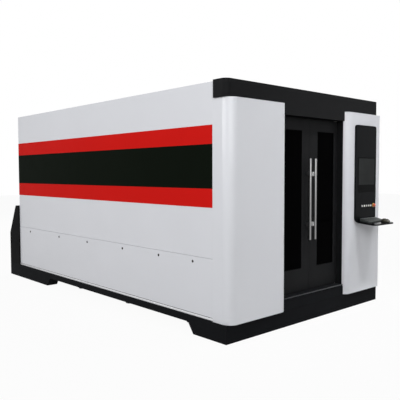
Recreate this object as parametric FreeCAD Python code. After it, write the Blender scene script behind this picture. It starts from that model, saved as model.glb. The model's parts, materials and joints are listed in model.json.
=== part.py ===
import FreeCAD, Part
import math
import os

# A fully enclosed flat-bed laser cutting machine: a long white cabin with a striped side on a black
# plinth, double doors between two columns at the front end, an operator console on the right column,
# and a pallet that rolls out through a lift door at the rear end.
# Millimetres. X runs across the front (0 is the middle), Y runs from the front face to the rear, Z is up.

Vector = FreeCAD.Vector

# ---------------------------------------------------------------- driving dimensions
# Outside
BASE_WIDTH = 2490.0
BASE_LENGTH = 4535.0
OVERALL_HEIGHT = 2300.0

# Plinth
PLINTH_TOP = 173.0
PLINTH_STEP = 8.0            # the plinth is this much lower under the front columns
RAIL_BOTTOM = 106.0          # free height under the side rails, between the feet
RAIL_WIDTH = 120.0
RAIL_WALL = 5.0
FRONT_FOOT_LENGTH = 431.0
REAR_FOOT_LENGTH = 1176.0
FOOT_SLOPE = 76.0            # run of each foot's slanted end
PLINTH_WALL = 6.0

# Cabin walls
WALL_INSET = 16.0            # the white walls stand this far inside the plinth's sides
DOCK_DEPTH = 313.0           # from the rear wall to the plinth's rear end
PAN_DEPTH = 25.0
SHEET = 2.0
SEAM_GAP = 2.0
SEAM_Z = 728.0
WALL_TOP_DROP = 10.0         # the walls end this far below the front cap's top
ROOF_DROP = 2.0
ROOF_PANELS = 3
ROOF_UNDER_CAP = 60.0

# Coloured bands on the long sides
BAND_THICKNESS = 2.0
BAND_BOTTOM = 1183.0
LOWER_RED_HEIGHT = 169.0
BLACK_HEIGHT = 395.0
UPPER_RED_HEIGHT = 168.0

# Screws of the lower side covers
SCREW_BELOW_SEAM = 50.0
SCREWS_FROM_FRONT = (451.0, 964.0, 1603.0)
SCREWS_FROM_REAR = (1879.0, 1180.0, 342.0)
SCREW_FLATS = 6
SCREW_HEAD_RADIUS = 11.0
SCREW_HEAD_HEIGHT = 4.0
SCREW_SHANK_RADIUS = 5.0
SCREW_SHANK_LENGTH = 14.0
SCREW_CLEARANCE = 0.2

# Cabin frame of square tube
POST_SIZE = 60.0
POST_WALL = 3.0
MIDDLE_POSTS = 2

# Front columns and cap
COLUMN_PROUD = 32.0          # the columns stand this far in front of the plinth and the cap
COLUMN_SHEET = 3.0
COLUMN_RETURN = 184.0
COLUMN_CORNER = 95.0
PILLAR_CORNER = 10.0
OPENING_CORNER = 75.0
CAP_HEIGHT = 158.0
CAP_RETURN = 160.0
CAP_CORNER = 60.0
CAP_SHEET = 3.0

# Door opening
OPENING_CENTRE = 50.0
OPENING_WIDTH = 1004.0
SILL_HEIGHT = 280.0
HEADER_DROP = 257.0          # from the cap's top to the head of the doorway
SILL_BEVEL = 18.0
JAMB_FRONT = 20.0
JAMB_WIDTH = 40.0
FRAME_REAR = 140.0

# Doors
DOOR_FACE = 83.0             # from the plinth's front face back to the doors
DOOR_THICKNESS = 40.0
DOOR_SKIN = 3.0
DOOR_GAP = 4.0
MEETING_GAP = 3.0
MEETING_STILE = 130.0
WINDOW_WIDTH = 293.0
WINDOW_BOTTOM = 516.0
WINDOW_DROP = 126.0          # from the head of the doorway to the windows' top
PANE_THICKNESS = 6.0
PANE_RECESS = 3.0
PIVOT_RADIUS = 10.0
PIVOT_LENGTH = 29.0
PIVOT_CLEARANCE = 0.06
PIVOT_END_GAP = 1.0
PIVOT_WASHER_RADIUS = 18.0
PIVOT_WASHER_HEIGHT = 3.7
PIVOT_WASHER_FLATS = 8
HANDLE_RADIUS = 12.0
HANDLE_OFFSET = 43.5         # bar's axis from the line where the doors meet
HANDLE_STANDOFF = 42.0       # bar's axis from the door's face
HANDLE_BOTTOM = 806.0
HANDLE_TOP = 1634.0
HANDLE_POST_WIDTH = 20.0
HANDLE_POST_HEIGHT = 42.0
HANDLE_POST_INSET = 157.0    # from each end of the bar to its post

# Operator console
CONSOLE_SIDE_MARGIN = 107.0  # from the right wall's face to the console's edge
CONSOLE_WIDTH = 416.0
CONSOLE_DROP = 132.0         # from the column's top to the console's top
CONSOLE_THICKNESS = 18.0
CONSOLE_TOP_CORNER = 28.0
CONTROLS_OFFSET = 10.0       # the screen and the buttons stand this far right of the middle
TRAY_REACH = 235.0           # from the console's face to the tray's front edge
TRAY_THICKNESS = 15.0
TRAY_BACK_TOP = 957.0
TRAY_FRONT_TOP = 936.0
TRAY_CORNER = 38.0
BEND_RADIUS = 60.0           # outside of the bend from the panel into the tray
SCREEN_WIDTH = 326.0
SCREEN_HEIGHT = 290.0
SCREEN_CENTRE_Z = 1500.0
SCREEN_THICKNESS = 4.0
SCREEN_PROUD = 1.0

# Buttons
BUTTON_NAMES = ("power_button", "start_button", "pause_button", "reset_button", "light_button")
BUTTON_Z = 1120.0
BUTTON_PITCH = 45.0
BUTTON_RADIUS = 11.0
BUTTON_PROUD = 7.0
BUTTON_LENGTH = 15.0
BUTTON_POCKET = 13.0
BUTTON_CLEARANCE = 0.3
BUTTON_FLATS = 12
COLLAR_RADIUS = 15.0
COLLAR_HEIGHT = 3.0
ESTOP_RADIUS = 20.0
ESTOP_HEAD_HEIGHT = 12.0
ESTOP_LIFT = 12.0            # underside of the mushroom head above the console's face
ESTOP_COLLAR_RADIUS = 23.0
ESTOP_FLATS = 24

# Keyboard and mouse, lying on the sloping tray
KEYBOARD_LEFT_MARGIN = 74.0
KEYBOARD_WIDTH = 326.0
KEYBOARD_DEPTH = 112.0
KEYBOARD_BACK_HEIGHT = 26.0
KEYBOARD_FRONT_HEIGHT = 11.0
KEYBOARD_SETBACK = 8.0
MOUSE_RIGHT_MARGIN = 55.0
MOUSE_GAP = 5.0
MOUSE_WIDTH = 60.0
MOUSE_LENGTH = 100.0
MOUSE_HEIGHT = 38.0
MOUSE_FLATS = 12

# Cabinets behind the columns
CABINET_GAP = 10.0
CABINET_REAR = 500.0
ELECTRICAL_WIDTH = 600.0
ELECTRICAL_HEIGHT = 1780.0
LASER_WIDTH = 540.0
LASER_HEIGHT = 760.0
CABINET_WALL = 4.0
CABINET_EDGE = 8.0

# Machine bed
BED_FRONT = 620.0
BED_REAR_GAP = 102.0         # from the bed to the rear wall's face
BED_SIDE_GAP = 35.0          # from a side rail of the plinth to the bed
BED_BEAM_WIDTH = 240.0
BED_BOTTOM = 120.0
BED_TOP = 900.0
BED_WALL = 12.0
CROSS_LENGTH = 120.0
CROSS_BOTTOM = 150.0
CROSS_TOP = 350.0
FOOT_ROWS = 4
FOOT_END_INSET = 140.0
LUGS_PER_SIDE = 3
LUG_LENGTH = 90.0
LUG_HEIGHT = 36.0
PAD_RADIUS = 50.0
PAD_HEIGHT = 20.0
STEM_RADIUS = 18.0
FOOT_FLATS = 8

# Linear guides and racks
LONG_RAIL_INSET = 80.0       # from a bed beam's inner face to the rail's axis
RAIL_SECTION = 30.0
RAIL_HEIGHT = 24.0
RAIL_END_INSET = 20.0
RACK_SECTION = 28.0
RACK_OFFSET = 62.0           # from a long rail's axis outwards to its rack
PINION_RADIUS = 24.0
PINION_WIDTH = 24.0
PINION_LIFT = 3.0
PINION_FLATS = 20
SHAFT_RADIUS = 9.0
SHAFT_CLEARANCE = 0.05
GUIDE_CLEARANCE = 0.3
BLOCK_WIDTH = 70.0
BLOCK_LENGTH = 110.0
BLOCK_HEIGHT = 36.0
BLOCK_SKIRT = 18.0

# Gantry, at the front end of its travel
GANTRY_Y = 920.0
GANTRY_DEPTH = 220.0
GANTRY_BASE = 85.0           # underside of the beam above the bed
GANTRY_HEIGHT = 260.0
GANTRY_WALL = 8.0
GANTRY_OVER_RAIL = 40.0      # the beam reaches this far beyond the rail's axis
END_PLATE_LENGTH = 400.0
END_PLATE_INSIDE = 45.0      # from the rail's axis inwards to the end plate's edge
END_PLATE_OUTSIDE = 155.0
MOTOR_SIZE = 78.0
MOTOR_HEIGHT = 190.0
MOTOR_GAP = 5.0
MOTOR_EDGE = 10.0
GEARBOX_HEIGHT = 70.0
GEARBOX_RADIUS = 36.0
GEARBOX_FLATS = 16

# Head carriage and cutting head, near the left end of the beam
HEAD_REST = 250.0            # from the left beam's inner face to the head at rest
CROSS_RAIL_INSET = 45.0
CROSS_RAIL_END = 10.0        # from the beam's end to a rail's end
HEAD_PLATE_WIDTH = 250.0
HEAD_PLATE_THICKNESS = 28.0
HEAD_PLATE_MARGIN = 5.0
SLIDE_WIDTH = 170.0
SLIDE_THICKNESS = 24.0
SLIDE_BOTTOM = 1040.0
SLIDE_HEIGHT = 330.0
KEY_WIDTH = 16.0
KEY_DEPTH = 8.0
KEY_OFFSET = 50.0
HEAD_SIZE = 92.0
HEAD_BODY_HEIGHT = 230.0
HEAD_BODY_LIFT = 50.0
HEAD_CHAMFER = 12.0
HEAD_CONE_HEIGHT = 62.0
HEAD_STEP = 1.0              # from the housing's side in to the cone
HEAD_COLLAR_HEIGHT = 30.0
HEAD_COLLAR_RADIUS = 36.0
HEAD_FLATS = 24
NOZZLE_RADIUS = 14.0
NOZZLE_TIP_RADIUS = 3.0
NOZZLE_HEIGHT = 22.0
NOZZLE_BORE = 1.5
NOZZLE_FLANGE = 6.0
NOZZLE_BORE_FLATS = 8

# Pallet with saw-tooth slats
PALLET_FRONT = 660.0
PALLET_REAR_MARGIN = 260.0   # from the pallet's rear end to the bed's
PALLET_SIDE_GAP = 30.0       # from a bed beam to the pallet's side bar
PALLET_BAR_WIDTH = 60.0
PALLET_BAR_BOTTOM = 730.0
PALLET_BAR_TOP = 820.0
PALLET_WALL = 4.0
PALLET_END_LENGTH = 40.0
LEDGE_WIDTH = 30.0
LEDGE_THICKNESS = 6.0
SLAT_COUNT = 22
SLAT_END_MARGIN = 80.0
SLAT_BOTTOM = 770.0
SLAT_TOP = 870.0
SLAT_THICKNESS = 4.0
SLAT_TEETH = 12
SLAT_TOOTH_DEPTH = 26.0
SLAT_END_GAP = 1.0
AXLE_RADIUS = 12.5
AXLE_Z = 750.0
AXLE_CLEARANCE = 0.06
WHEEL_RADIUS = 35.0
WHEEL_WIDTH = 22.0
WHEEL_SIDE_GAP = 4.0
AXLE_INSET = 640.0           # from each end of the pallet to an axle
TRACK_HEIGHT = 10.0
TRACK_CLEARANCE = 0.3

# Rear opening and its lift door, stored raised
REAR_OPENING_MARGIN = 12.0   # the opening is this much wider than the bed's inside, each side
REAR_OPENING_BOTTOM = 690.0
REAR_OPENING_TOP = 985.0
LIFT_OVERLAP = 20.0
LIFT_TRAVEL = 360.0
LIFT_DOOR_THICKNESS = 30.0
LIFT_DOOR_GAP = 4.0
GUIDE_WIDTH = 40.0
GUIDE_DEPTH = 42.0
GUIDE_ENGAGEMENT = 14.0
GUIDE_SLOT_CLEARANCE = 0.5
GUIDE_ABOVE = 40.0
CYLINDER_INSET = 182.0       # from the lift door's side edge
CYLINDER_RADIUS = 18.0
CYLINDER_BRACKET_WIDTH = 24.0
CYLINDER_BRACKET_HEIGHT = 30.0
CYLINDER_LIFT = 55.0
CYLINDER_LENGTH = 450.0
CYLINDER_FLATS = 8
ROD_RADIUS = 8.0
ROD_CLEARANCE = 0.06
ROD_STAY = 20.0              # length of rod left in its cylinder when the door is down

# Exhaust collar on the rear wall
EXHAUST_X = -400.0
EXHAUST_DROP = 550.0         # from the cap's top
EXHAUST_RADIUS = 100.0
EXHAUST_WALL = 3.0
EXHAUST_LENGTH = 60.0
EXHAUST_FLANGE_RADIUS = 130.0
EXHAUST_FLANGE = 4.0
EXHAUST_FLATS = 24

# Scrap trays under the pallet
SCRAP_TRAY_COUNT = 2
SCRAP_TRAY_SIDE_GAP = 150.0
SCRAP_TRAY_HEIGHT = 100.0
SCRAP_TRAY_INSET = 20.0
SCRAP_TRAY_GAP = 10.0
SCRAP_TRAY_SHEET = 3.0

# Dock cheeks behind the rear wall
CHEEK_WIDTH = 140.0
CHEEK_TOP = 1026.0
CHEEK_TAPER_START = 620.0
CHEEK_TAPER_END = 990.0
CHEEK_TAPER_RUN = 190.0
CHEEK_ROUND = 36.0
REAR_CROSS_GAP = 40.0

# A bore that a round pin, rod or shaft runs in has this many flats round its clearance
BORE_FLATS = 16
# Cuts run this far past the faces that they open
CUT_REACH = 1.0
# Edges are told apart by their place to within this
PLACE_TOLERANCE = 1.0

# ---------------------------------------------------------------- derived places
HALF_WIDTH = BASE_WIDTH / 2
WALL_REAR = BASE_LENGTH - DOCK_DEPTH
REAR_FOOT_START = BASE_LENGTH - REAR_FOOT_LENGTH
HEADER_BOTTOM = OVERALL_HEIGHT - HEADER_DROP
WINDOW_TOP = HEADER_BOTTOM - WINDOW_DROP
EXHAUST_Z = OVERALL_HEIGHT - EXHAUST_DROP
BED_OUTER = HALF_WIDTH - RAIL_WIDTH - BED_SIDE_GAP
BED_INNER = BED_OUTER - BED_BEAM_WIDTH
BED_REAR = WALL_REAR - BED_REAR_GAP
REAR_OPENING_HALF = BED_INNER + REAR_OPENING_MARGIN
SCREW_PLACES = SCREWS_FROM_FRONT + tuple(WALL_REAR - y for y in SCREWS_FROM_REAR)
WALL_FACE = HALF_WIDTH - WALL_INSET
WALL_INNER = WALL_FACE - PAN_DEPTH
WALL_TOP = OVERALL_HEIGHT - WALL_TOP_DROP
ROOF_TOP = WALL_TOP - ROOF_DROP
FRAME_TOP = ROOF_TOP - PAN_DEPTH
REAR_INNER = WALL_REAR - PAN_DEPTH
COLUMN_FRONT = -COLUMN_PROUD
COLUMN_TOP = OVERALL_HEIGHT - CAP_HEIGHT
COLUMN_BOTTOM = PLINTH_TOP - PLINTH_STEP
OPENING_LEFT = OPENING_CENTRE - OPENING_WIDTH / 2
OPENING_RIGHT = OPENING_CENTRE + OPENING_WIDTH / 2
FRONT_PLINTH_REAR = FRONT_FOOT_LENGTH + FOOT_SLOPE
REAR_PLINTH_FRONT = REAR_FOOT_START - FOOT_SLOPE
CONSOLE_FACE = COLUMN_FRONT - CONSOLE_THICKNESS
TRAY_FRONT = CONSOLE_FACE - TRAY_REACH
CONSOLE_RIGHT = WALL_FACE - CONSOLE_SIDE_MARGIN
CONSOLE_CENTRE = CONSOLE_RIGHT - CONSOLE_WIDTH / 2
CONSOLE_TOP = COLUMN_TOP - CONSOLE_DROP
ORIGIN_Y = (TRAY_FRONT + BASE_LENGTH) / 2
RAIL_AXIS = BED_INNER + LONG_RAIL_INSET
BLOCK_LIFT = RAIL_HEIGHT + GUIDE_CLEARANCE - BLOCK_SKIRT
BLOCK_TOP = BLOCK_LIFT + BLOCK_HEIGHT
PINION_AXIS = RAIL_AXIS + RACK_OFFSET + RACK_SECTION + GUIDE_CLEARANCE + PINION_RADIUS
MOTOR_Y = GANTRY_Y + GANTRY_DEPTH / 2 + MOTOR_GAP + MOTOR_SIZE / 2
GANTRY_FACE = GANTRY_Y - GANTRY_DEPTH / 2
GANTRY_HALF = RAIL_AXIS + GANTRY_OVER_RAIL
CROSS_RAIL_HALF = GANTRY_HALF - CROSS_RAIL_END
HEAD_X = HEAD_REST - BED_INNER
HEAD_PLATE_BACK = GANTRY_FACE - BLOCK_TOP
HEAD_PLATE_FACE = HEAD_PLATE_BACK - HEAD_PLATE_THICKNESS
SLIDE_FACE = HEAD_PLATE_FACE - GUIDE_CLEARANCE - SLIDE_THICKNESS
GANTRY_BOTTOM = BED_TOP + GANTRY_BASE
PALLET_OUTER = BED_INNER - PALLET_SIDE_GAP
PALLET_INNER = PALLET_OUTER - PALLET_BAR_WIDTH
PALLET_REAR = BED_REAR - PALLET_REAR_MARGIN
PALLET_LENGTH = PALLET_REAR - PALLET_FRONT
SLAT_PITCH = (PALLET_LENGTH - 2 * SLAT_END_MARGIN) / (SLAT_COUNT - 1)
TRACK_TOP = AXLE_Z - WHEEL_RADIUS - TRACK_CLEARANCE
LIFT_DOOR_HEIGHT = REAR_OPENING_TOP - REAR_OPENING_BOTTOM + 2 * LIFT_OVERLAP
LIFT_DOOR_BOTTOM = REAR_OPENING_BOTTOM - LIFT_OVERLAP + LIFT_TRAVEL
LIFT_DOOR_TOP = LIFT_DOOR_BOTTOM + LIFT_DOOR_HEIGHT
LIFT_DOOR_HALF = REAR_OPENING_HALF + LIFT_OVERLAP
CYLINDER_OFFSET = LIFT_DOOR_HALF - CYLINDER_INSET
CYLINDER_Y = WALL_REAR + LIFT_DOOR_GAP + LIFT_DOOR_THICKNESS / 2


# ---------------------------------------------------------------- helpers
def box(x0, x1, y0, y1, z0, z1):
    low = Vector(min(x0, x1), min(y0, y1), min(z0, z1))
    return Part.makeBox(abs(x1 - x0), abs(y1 - y0), abs(z1 - z0), low)


def hollow_box(x0, x1, y0, y1, z0, z1, wall):
    """A closed box section: nothing opens into it."""
    x0, x1 = min(x0, x1), max(x0, x1)
    outer = box(x0, x1, y0, y1, z0, z1)
    inner = box(x0 + wall, x1 - wall, y0 + wall, y1 - wall, z0 + wall, z1 - wall)
    return outer.cut(inner)


def rod(start, axis, radius, length):
    return Part.makeCylinder(radius, length, Vector(*start), Vector(*axis))


def prism(start, axis, radius, length, flats):
    """A bar with flats that stands for a round one where many repeat; radius is to the flats."""
    start, axis = Vector(*start), Vector(*axis)
    arm = Vector(1, 0, 0) if abs(axis.x) < 0.5 else Vector(0, 1, 0)
    arm *= radius / math.cos(math.pi / flats)
    turns = [FreeCAD.Rotation(axis, 360.0 * (i + 0.5) / flats) for i in range(flats + 1)]
    corners = [start + turn.multVec(arm) for turn in turns]
    return Part.Face(Part.makePolygon(corners)).extrude(axis * length)


def taper(centre, z0, radius0, z1, radius1, flats):
    """An upright frustum with flats, from one radius to another; the radii are to the flats."""
    def ring(z, radius):
        corner = Vector(radius / math.cos(math.pi / flats), 0, 0)
        turns = [FreeCAD.Rotation(Vector(0, 0, 1), 360.0 * (i + 0.5) / flats) for i in range(flats + 1)]
        return [Vector(*centre, z) + turn.multVec(corner) for turn in turns]
    low, high = ring(z0, radius0), ring(z1, radius1)
    outlines = [[low[i], low[i + 1], high[i + 1], high[i], low[i]] for i in range(flats)]
    faces = [Part.Face(Part.makePolygon(outline)) for outline in outlines + [low, high]]
    return Part.Solid(Part.Shell(faces))


def across(profile, x0, x1):
    """A closed outline of (y, z) points, carried from x0 to x1."""
    points = [Vector(x0, y, z) for y, z in profile]
    wire = Part.makePolygon(points + points[:1])
    return Part.Face(wire).extrude(Vector(x1 - x0, 0, 0))


def upright(outline, z0, z1):
    """A closed list of edges drawn at z = 0, carried from z0 to z1."""
    solid = Part.Face(Part.Wire(outline)).extrude(Vector(0, 0, z1 - z0))
    solid.translate(Vector(0, 0, z0))
    return solid


def line(a, b):
    return Part.LineSegment(Vector(*a), Vector(*b)).toShape()


def quarter(start, corner, end, radius):
    """A quarter round from start to end, inside the square corner between them."""
    centre = Vector(start[0] + end[0] - corner[0], start[1] + end[1] - corner[1], 0)
    outward = (Vector(corner[0], corner[1], 0) - centre).normalize()
    middle = centre + outward * radius
    return Part.Arc(Vector(start[0], start[1], 0), middle, Vector(end[0], end[1], 0)).toShape()


def runs_along(edge, axis):
    """True for a straight or curved edge whose ends differ in place along one axis only."""
    a, b = edge.Vertexes[0].Point, edge.Vertexes[-1].Point
    return all((abs(a[i] - b[i]) > PLACE_TOLERANCE) == (i == axis) for i in range(3))


def mirrored(shape):
    return shape.mirror(Vector(0, 0, 0), Vector(1, 0, 0))


def both_sides(shape):
    return [shape, mirrored(shape)]


def laid(shape, point, along, up):
    """Places a shape drawn along +Y on the plane z = 0 so that it runs along and stands up as given."""
    along, up = Vector(*along), Vector(*up)
    turn = FreeCAD.Rotation(along.cross(up), along, up, "XYZ")
    return shape.transformed(FreeCAD.Placement(Vector(*point), turn).toMatrix(), copy=True)


def save(name, *shapes):
    solids = [solid for shape in shapes for solid in shape.Solids]
    shape = solids[0] if len(solids) == 1 else Part.makeCompound(solids)
    shape = shape.copy()
    shape.translate(Vector(0, -ORIGIN_Y, 0))
    shape.exportStep(os.path.join("parts", name + ".step"))


# ---------------------------------------------------------------- plinth
def front_plinth():
    """A closed welded box across the front, with slanted ends to its feet."""
    def profile(inset):
        slope = inset * FOOT_SLOPE / RAIL_BOTTOM
        return [
            (inset, inset),
            (FRONT_FOOT_LENGTH - inset + slope, inset),
            (FRONT_PLINTH_REAR - inset, RAIL_BOTTOM),
            (FRONT_PLINTH_REAR - inset, PLINTH_TOP - inset),
            (COLUMN_RETURN + inset, PLINTH_TOP - inset),
            (COLUMN_RETURN + inset, COLUMN_BOTTOM - inset),
            (inset, COLUMN_BOTTOM - inset),
        ]
    outer = across(profile(0), -HALF_WIDTH, HALF_WIDTH)
    inner = across(profile(PLINTH_WALL), -HALF_WIDTH + PLINTH_WALL, HALF_WIDTH - PLINTH_WALL)
    save("front_plinth", outer.cut(inner))


def base_frame():
    """Rails along the sides, arms beside the rear of the bed, and a cross box under the dock."""
    inner_x = HALF_WIDTH - CHEEK_WIDTH

    def arm_profile(inset):
        slope = inset * FOOT_SLOPE / RAIL_BOTTOM
        return [
            (REAR_FOOT_START + inset - slope, inset),
            (BASE_LENGTH - inset, inset),
            (BASE_LENGTH - inset, PLINTH_TOP - inset),
            (REAR_PLINTH_FRONT + inset, PLINTH_TOP - inset),
            (REAR_PLINTH_FRONT + inset, RAIL_BOTTOM),
        ]
    outer = across(arm_profile(0), inner_x, HALF_WIDTH)
    inner = across(arm_profile(PLINTH_WALL), inner_x + PLINTH_WALL, HALF_WIDTH - PLINTH_WALL)
    cross = hollow_box(-inner_x, inner_x, BED_REAR + REAR_CROSS_GAP, BASE_LENGTH, 0, PLINTH_TOP, PLINTH_WALL)
    rail = hollow_box(
        HALF_WIDTH - RAIL_WIDTH,
        HALF_WIDTH,
        FRONT_PLINTH_REAR,
        REAR_PLINTH_FRONT,
        RAIL_BOTTOM,
        PLINTH_TOP,
        RAIL_WALL,
    )
    save("base_frame", *both_sides(rail), *both_sides(outer.cut(inner)), cross)


def door_sill():
    """The raised step between the columns, with a bevelled nose."""
    profile = [
        (0, COLUMN_BOTTOM),
        (FRAME_REAR, COLUMN_BOTTOM),
        (FRAME_REAR, SILL_HEIGHT),
        (SILL_BEVEL, SILL_HEIGHT),
        (0, SILL_HEIGHT - SILL_BEVEL),
    ]
    save("door_sill", across(profile, OPENING_LEFT, OPENING_RIGHT))


def dock_cheeks():
    """The black cheeks beside the pallet's way out: upright, then tapering to a rounded top."""
    top_rear = BASE_LENGTH - CHEEK_TAPER_RUN
    profile = [
        (WALL_REAR, PLINTH_TOP),
        (BASE_LENGTH, PLINTH_TOP),
        (BASE_LENGTH, CHEEK_TAPER_START),
        (top_rear, CHEEK_TAPER_END),
        (top_rear - (CHEEK_TOP - CHEEK_TAPER_END) / 2, CHEEK_TOP),
        (WALL_REAR, CHEEK_TOP),
    ]
    cheek = across(profile, HALF_WIDTH - CHEEK_WIDTH, HALF_WIDTH)
    rear_edges = [
        edge
        for edge in cheek.Edges
        if runs_along(edge, 0)
        and edge.BoundBox.YMin > WALL_REAR + PLACE_TOLERANCE
        and edge.BoundBox.ZMin > PLINTH_TOP + PLACE_TOLERANCE
    ]
    cheek = cheek.makeFillet(CHEEK_ROUND / 2, rear_edges)
    core_profile = [
        (WALL_REAR + PLINTH_WALL, PLINTH_TOP + PLINTH_WALL),
        (BASE_LENGTH - PLINTH_WALL, PLINTH_TOP + PLINTH_WALL),
        (BASE_LENGTH - PLINTH_WALL, CHEEK_TAPER_START - PLINTH_WALL),
        (top_rear - PLINTH_WALL, CHEEK_TAPER_END - 2 * PLINTH_WALL),
        (WALL_REAR + PLINTH_WALL, CHEEK_TAPER_END - 2 * PLINTH_WALL),
    ]
    core = across(core_profile, HALF_WIDTH - CHEEK_WIDTH + PLINTH_WALL, HALF_WIDTH - PLINTH_WALL)
    save("dock_cheeks", *both_sides(cheek.cut(core)))


# ---------------------------------------------------------------- cabin
def post_places():
    first = COLUMN_RETURN
    last = REAR_INNER - POST_SIZE
    step = (last - first) / (MIDDLE_POSTS + 1)
    return [first + step * i for i in range(MIDDLE_POSTS + 2)]


def cabin_frame():
    inner = WALL_INNER - POST_SIZE
    rail_bottom = FRAME_TOP - POST_SIZE
    posts = []
    bars = []
    for y in post_places():
        post = hollow_box(inner, WALL_INNER, y, y + POST_SIZE, PLINTH_TOP, rail_bottom, POST_WALL)
        posts += both_sides(post)
        bars.append(hollow_box(-inner, inner, y, y + POST_SIZE, rail_bottom, FRAME_TOP, POST_WALL))
    long_bar = hollow_box(inner, WALL_INNER, COLUMN_RETURN, REAR_INNER, rail_bottom, FRAME_TOP, POST_WALL)
    save("cabin_frame", *posts, *both_sides(long_bar), *bars)


def side_pan(z0, z1):
    """A sheet folded inwards along all four edges, on the right side."""
    outer = box(WALL_INNER, WALL_FACE, COLUMN_RETURN, WALL_REAR, z0, z1)
    inner = box(
        WALL_INNER - CUT_REACH,
        WALL_FACE - SHEET,
        COLUMN_RETURN + SHEET,
        WALL_REAR - SHEET,
        z0 + SHEET,
        z1 - SHEET,
    )
    return outer.cut(inner)


def side_walls():
    upper = side_pan(SEAM_Z, WALL_TOP)
    save("right_wall", upper)
    save("left_wall", mirrored(upper))
    lower = side_pan(PLINTH_TOP, SEAM_Z - SEAM_GAP)
    screws = []
    for y in SCREW_PLACES:
        place = (WALL_FACE, y, SEAM_Z - SCREW_BELOW_SEAM)
        inwards = (-1, 0, 0)
        hole = prism(place, inwards, SCREW_SHANK_RADIUS + SCREW_CLEARANCE, SHEET, SCREW_FLATS)
        lower = lower.cut(hole)
        shank = prism(place, inwards, SCREW_SHANK_RADIUS, SCREW_SHANK_LENGTH, SCREW_FLATS)
        head = prism(place, (1, 0, 0), SCREW_HEAD_RADIUS, SCREW_HEAD_HEIGHT, SCREW_FLATS)
        screws += both_sides(shank.fuse(head))
    save("lower_covers", *both_sides(lower))
    save("cover_screws", *screws)


def side_bands():
    """Bonded bands along both sides, red, black and red from the bottom up."""
    def band(z0, height):
        return box(WALL_FACE, WALL_FACE + BAND_THICKNESS, COLUMN_RETURN, WALL_REAR, z0, z0 + height)
    black_bottom = BAND_BOTTOM + LOWER_RED_HEIGHT
    upper_bottom = black_bottom + BLACK_HEIGHT
    lower_red = band(BAND_BOTTOM, LOWER_RED_HEIGHT)
    upper_red = band(upper_bottom, UPPER_RED_HEIGHT)
    save("red_bands", *both_sides(lower_red), *both_sides(upper_red))
    save("black_bands", *both_sides(band(black_bottom, BLACK_HEIGHT)))


def roof_panels():
    front = CAP_RETURN - ROOF_UNDER_CAP
    length = (WALL_REAR - front) / ROOF_PANELS
    panels = []
    for i in range(ROOF_PANELS):
        y0 = front + i * length
        y1 = y0 + length - (SEAM_GAP if i < ROOF_PANELS - 1 else 0)
        outer = box(-WALL_INNER, WALL_INNER, y0, y1, FRAME_TOP, ROOF_TOP)
        inner = box(
            -WALL_INNER + SHEET,
            WALL_INNER - SHEET,
            y0 + SHEET,
            y1 - SHEET,
            FRAME_TOP - CUT_REACH,
            ROOF_TOP - SHEET,
        )
        panels.append(outer.cut(inner))
    save("roof_panels", *panels)


def rear_wall():
    """Four folded sheets round the pallet's way out."""
    def pan(x0, x1, z0, z1):
        outer = box(x0, x1, REAR_INNER, WALL_REAR, z0, z1)
        inner = box(x0 + SHEET, x1 - SHEET, REAR_INNER - CUT_REACH, WALL_REAR - SHEET, z0 + SHEET, z1 - SHEET)
        return outer.cut(inner)
    side = pan(REAR_OPENING_HALF, WALL_INNER, REAR_OPENING_BOTTOM + SEAM_GAP, REAR_OPENING_TOP - SEAM_GAP)
    lower = pan(-WALL_INNER, WALL_INNER, PLINTH_TOP, REAR_OPENING_BOTTOM)
    upper = pan(-WALL_INNER, WALL_INNER, REAR_OPENING_TOP, FRAME_TOP)
    hole_radius = EXHAUST_RADIUS - EXHAUST_WALL
    exhaust_hole = prism((EXHAUST_X, REAR_INNER, EXHAUST_Z), (0, 1, 0), hole_radius, PAN_DEPTH, EXHAUST_FLATS)
    save("rear_wall", lower, upper.cut(exhaust_hole), *both_sides(side))


# ---------------------------------------------------------------- rear lift door
def lift_door():
    y0 = WALL_REAR + LIFT_DOOR_GAP
    y1 = y0 + LIFT_DOOR_THICKNESS
    outer = box(-LIFT_DOOR_HALF, LIFT_DOOR_HALF, y0, y1, LIFT_DOOR_BOTTOM, LIFT_DOOR_TOP)
    inner = box(
        -LIFT_DOOR_HALF + SHEET,
        LIFT_DOOR_HALF - SHEET,
        y0 - CUT_REACH,
        y1 - SHEET,
        LIFT_DOOR_BOTTOM + SHEET,
        LIFT_DOOR_TOP - SHEET,
    )
    save("rear_lift_door", outer.cut(inner))

    guide_inner = LIFT_DOOR_HALF - GUIDE_ENGAGEMENT
    guide_bottom = REAR_OPENING_BOTTOM - LIFT_OVERLAP - GUIDE_ABOVE
    guide_top = LIFT_DOOR_TOP + GUIDE_ABOVE
    guide = box(
        guide_inner, guide_inner + GUIDE_WIDTH, WALL_REAR, WALL_REAR + GUIDE_DEPTH, guide_bottom, guide_top
    )
    slot = box(
        guide_inner - CUT_REACH,
        LIFT_DOOR_HALF + GUIDE_SLOT_CLEARANCE,
        y0 - GUIDE_SLOT_CLEARANCE,
        y1 + GUIDE_SLOT_CLEARANCE,
        guide_bottom - CUT_REACH,
        guide_top + CUT_REACH,
    )
    save("lift_door_guides", *both_sides(guide.cut(slot)))


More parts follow.
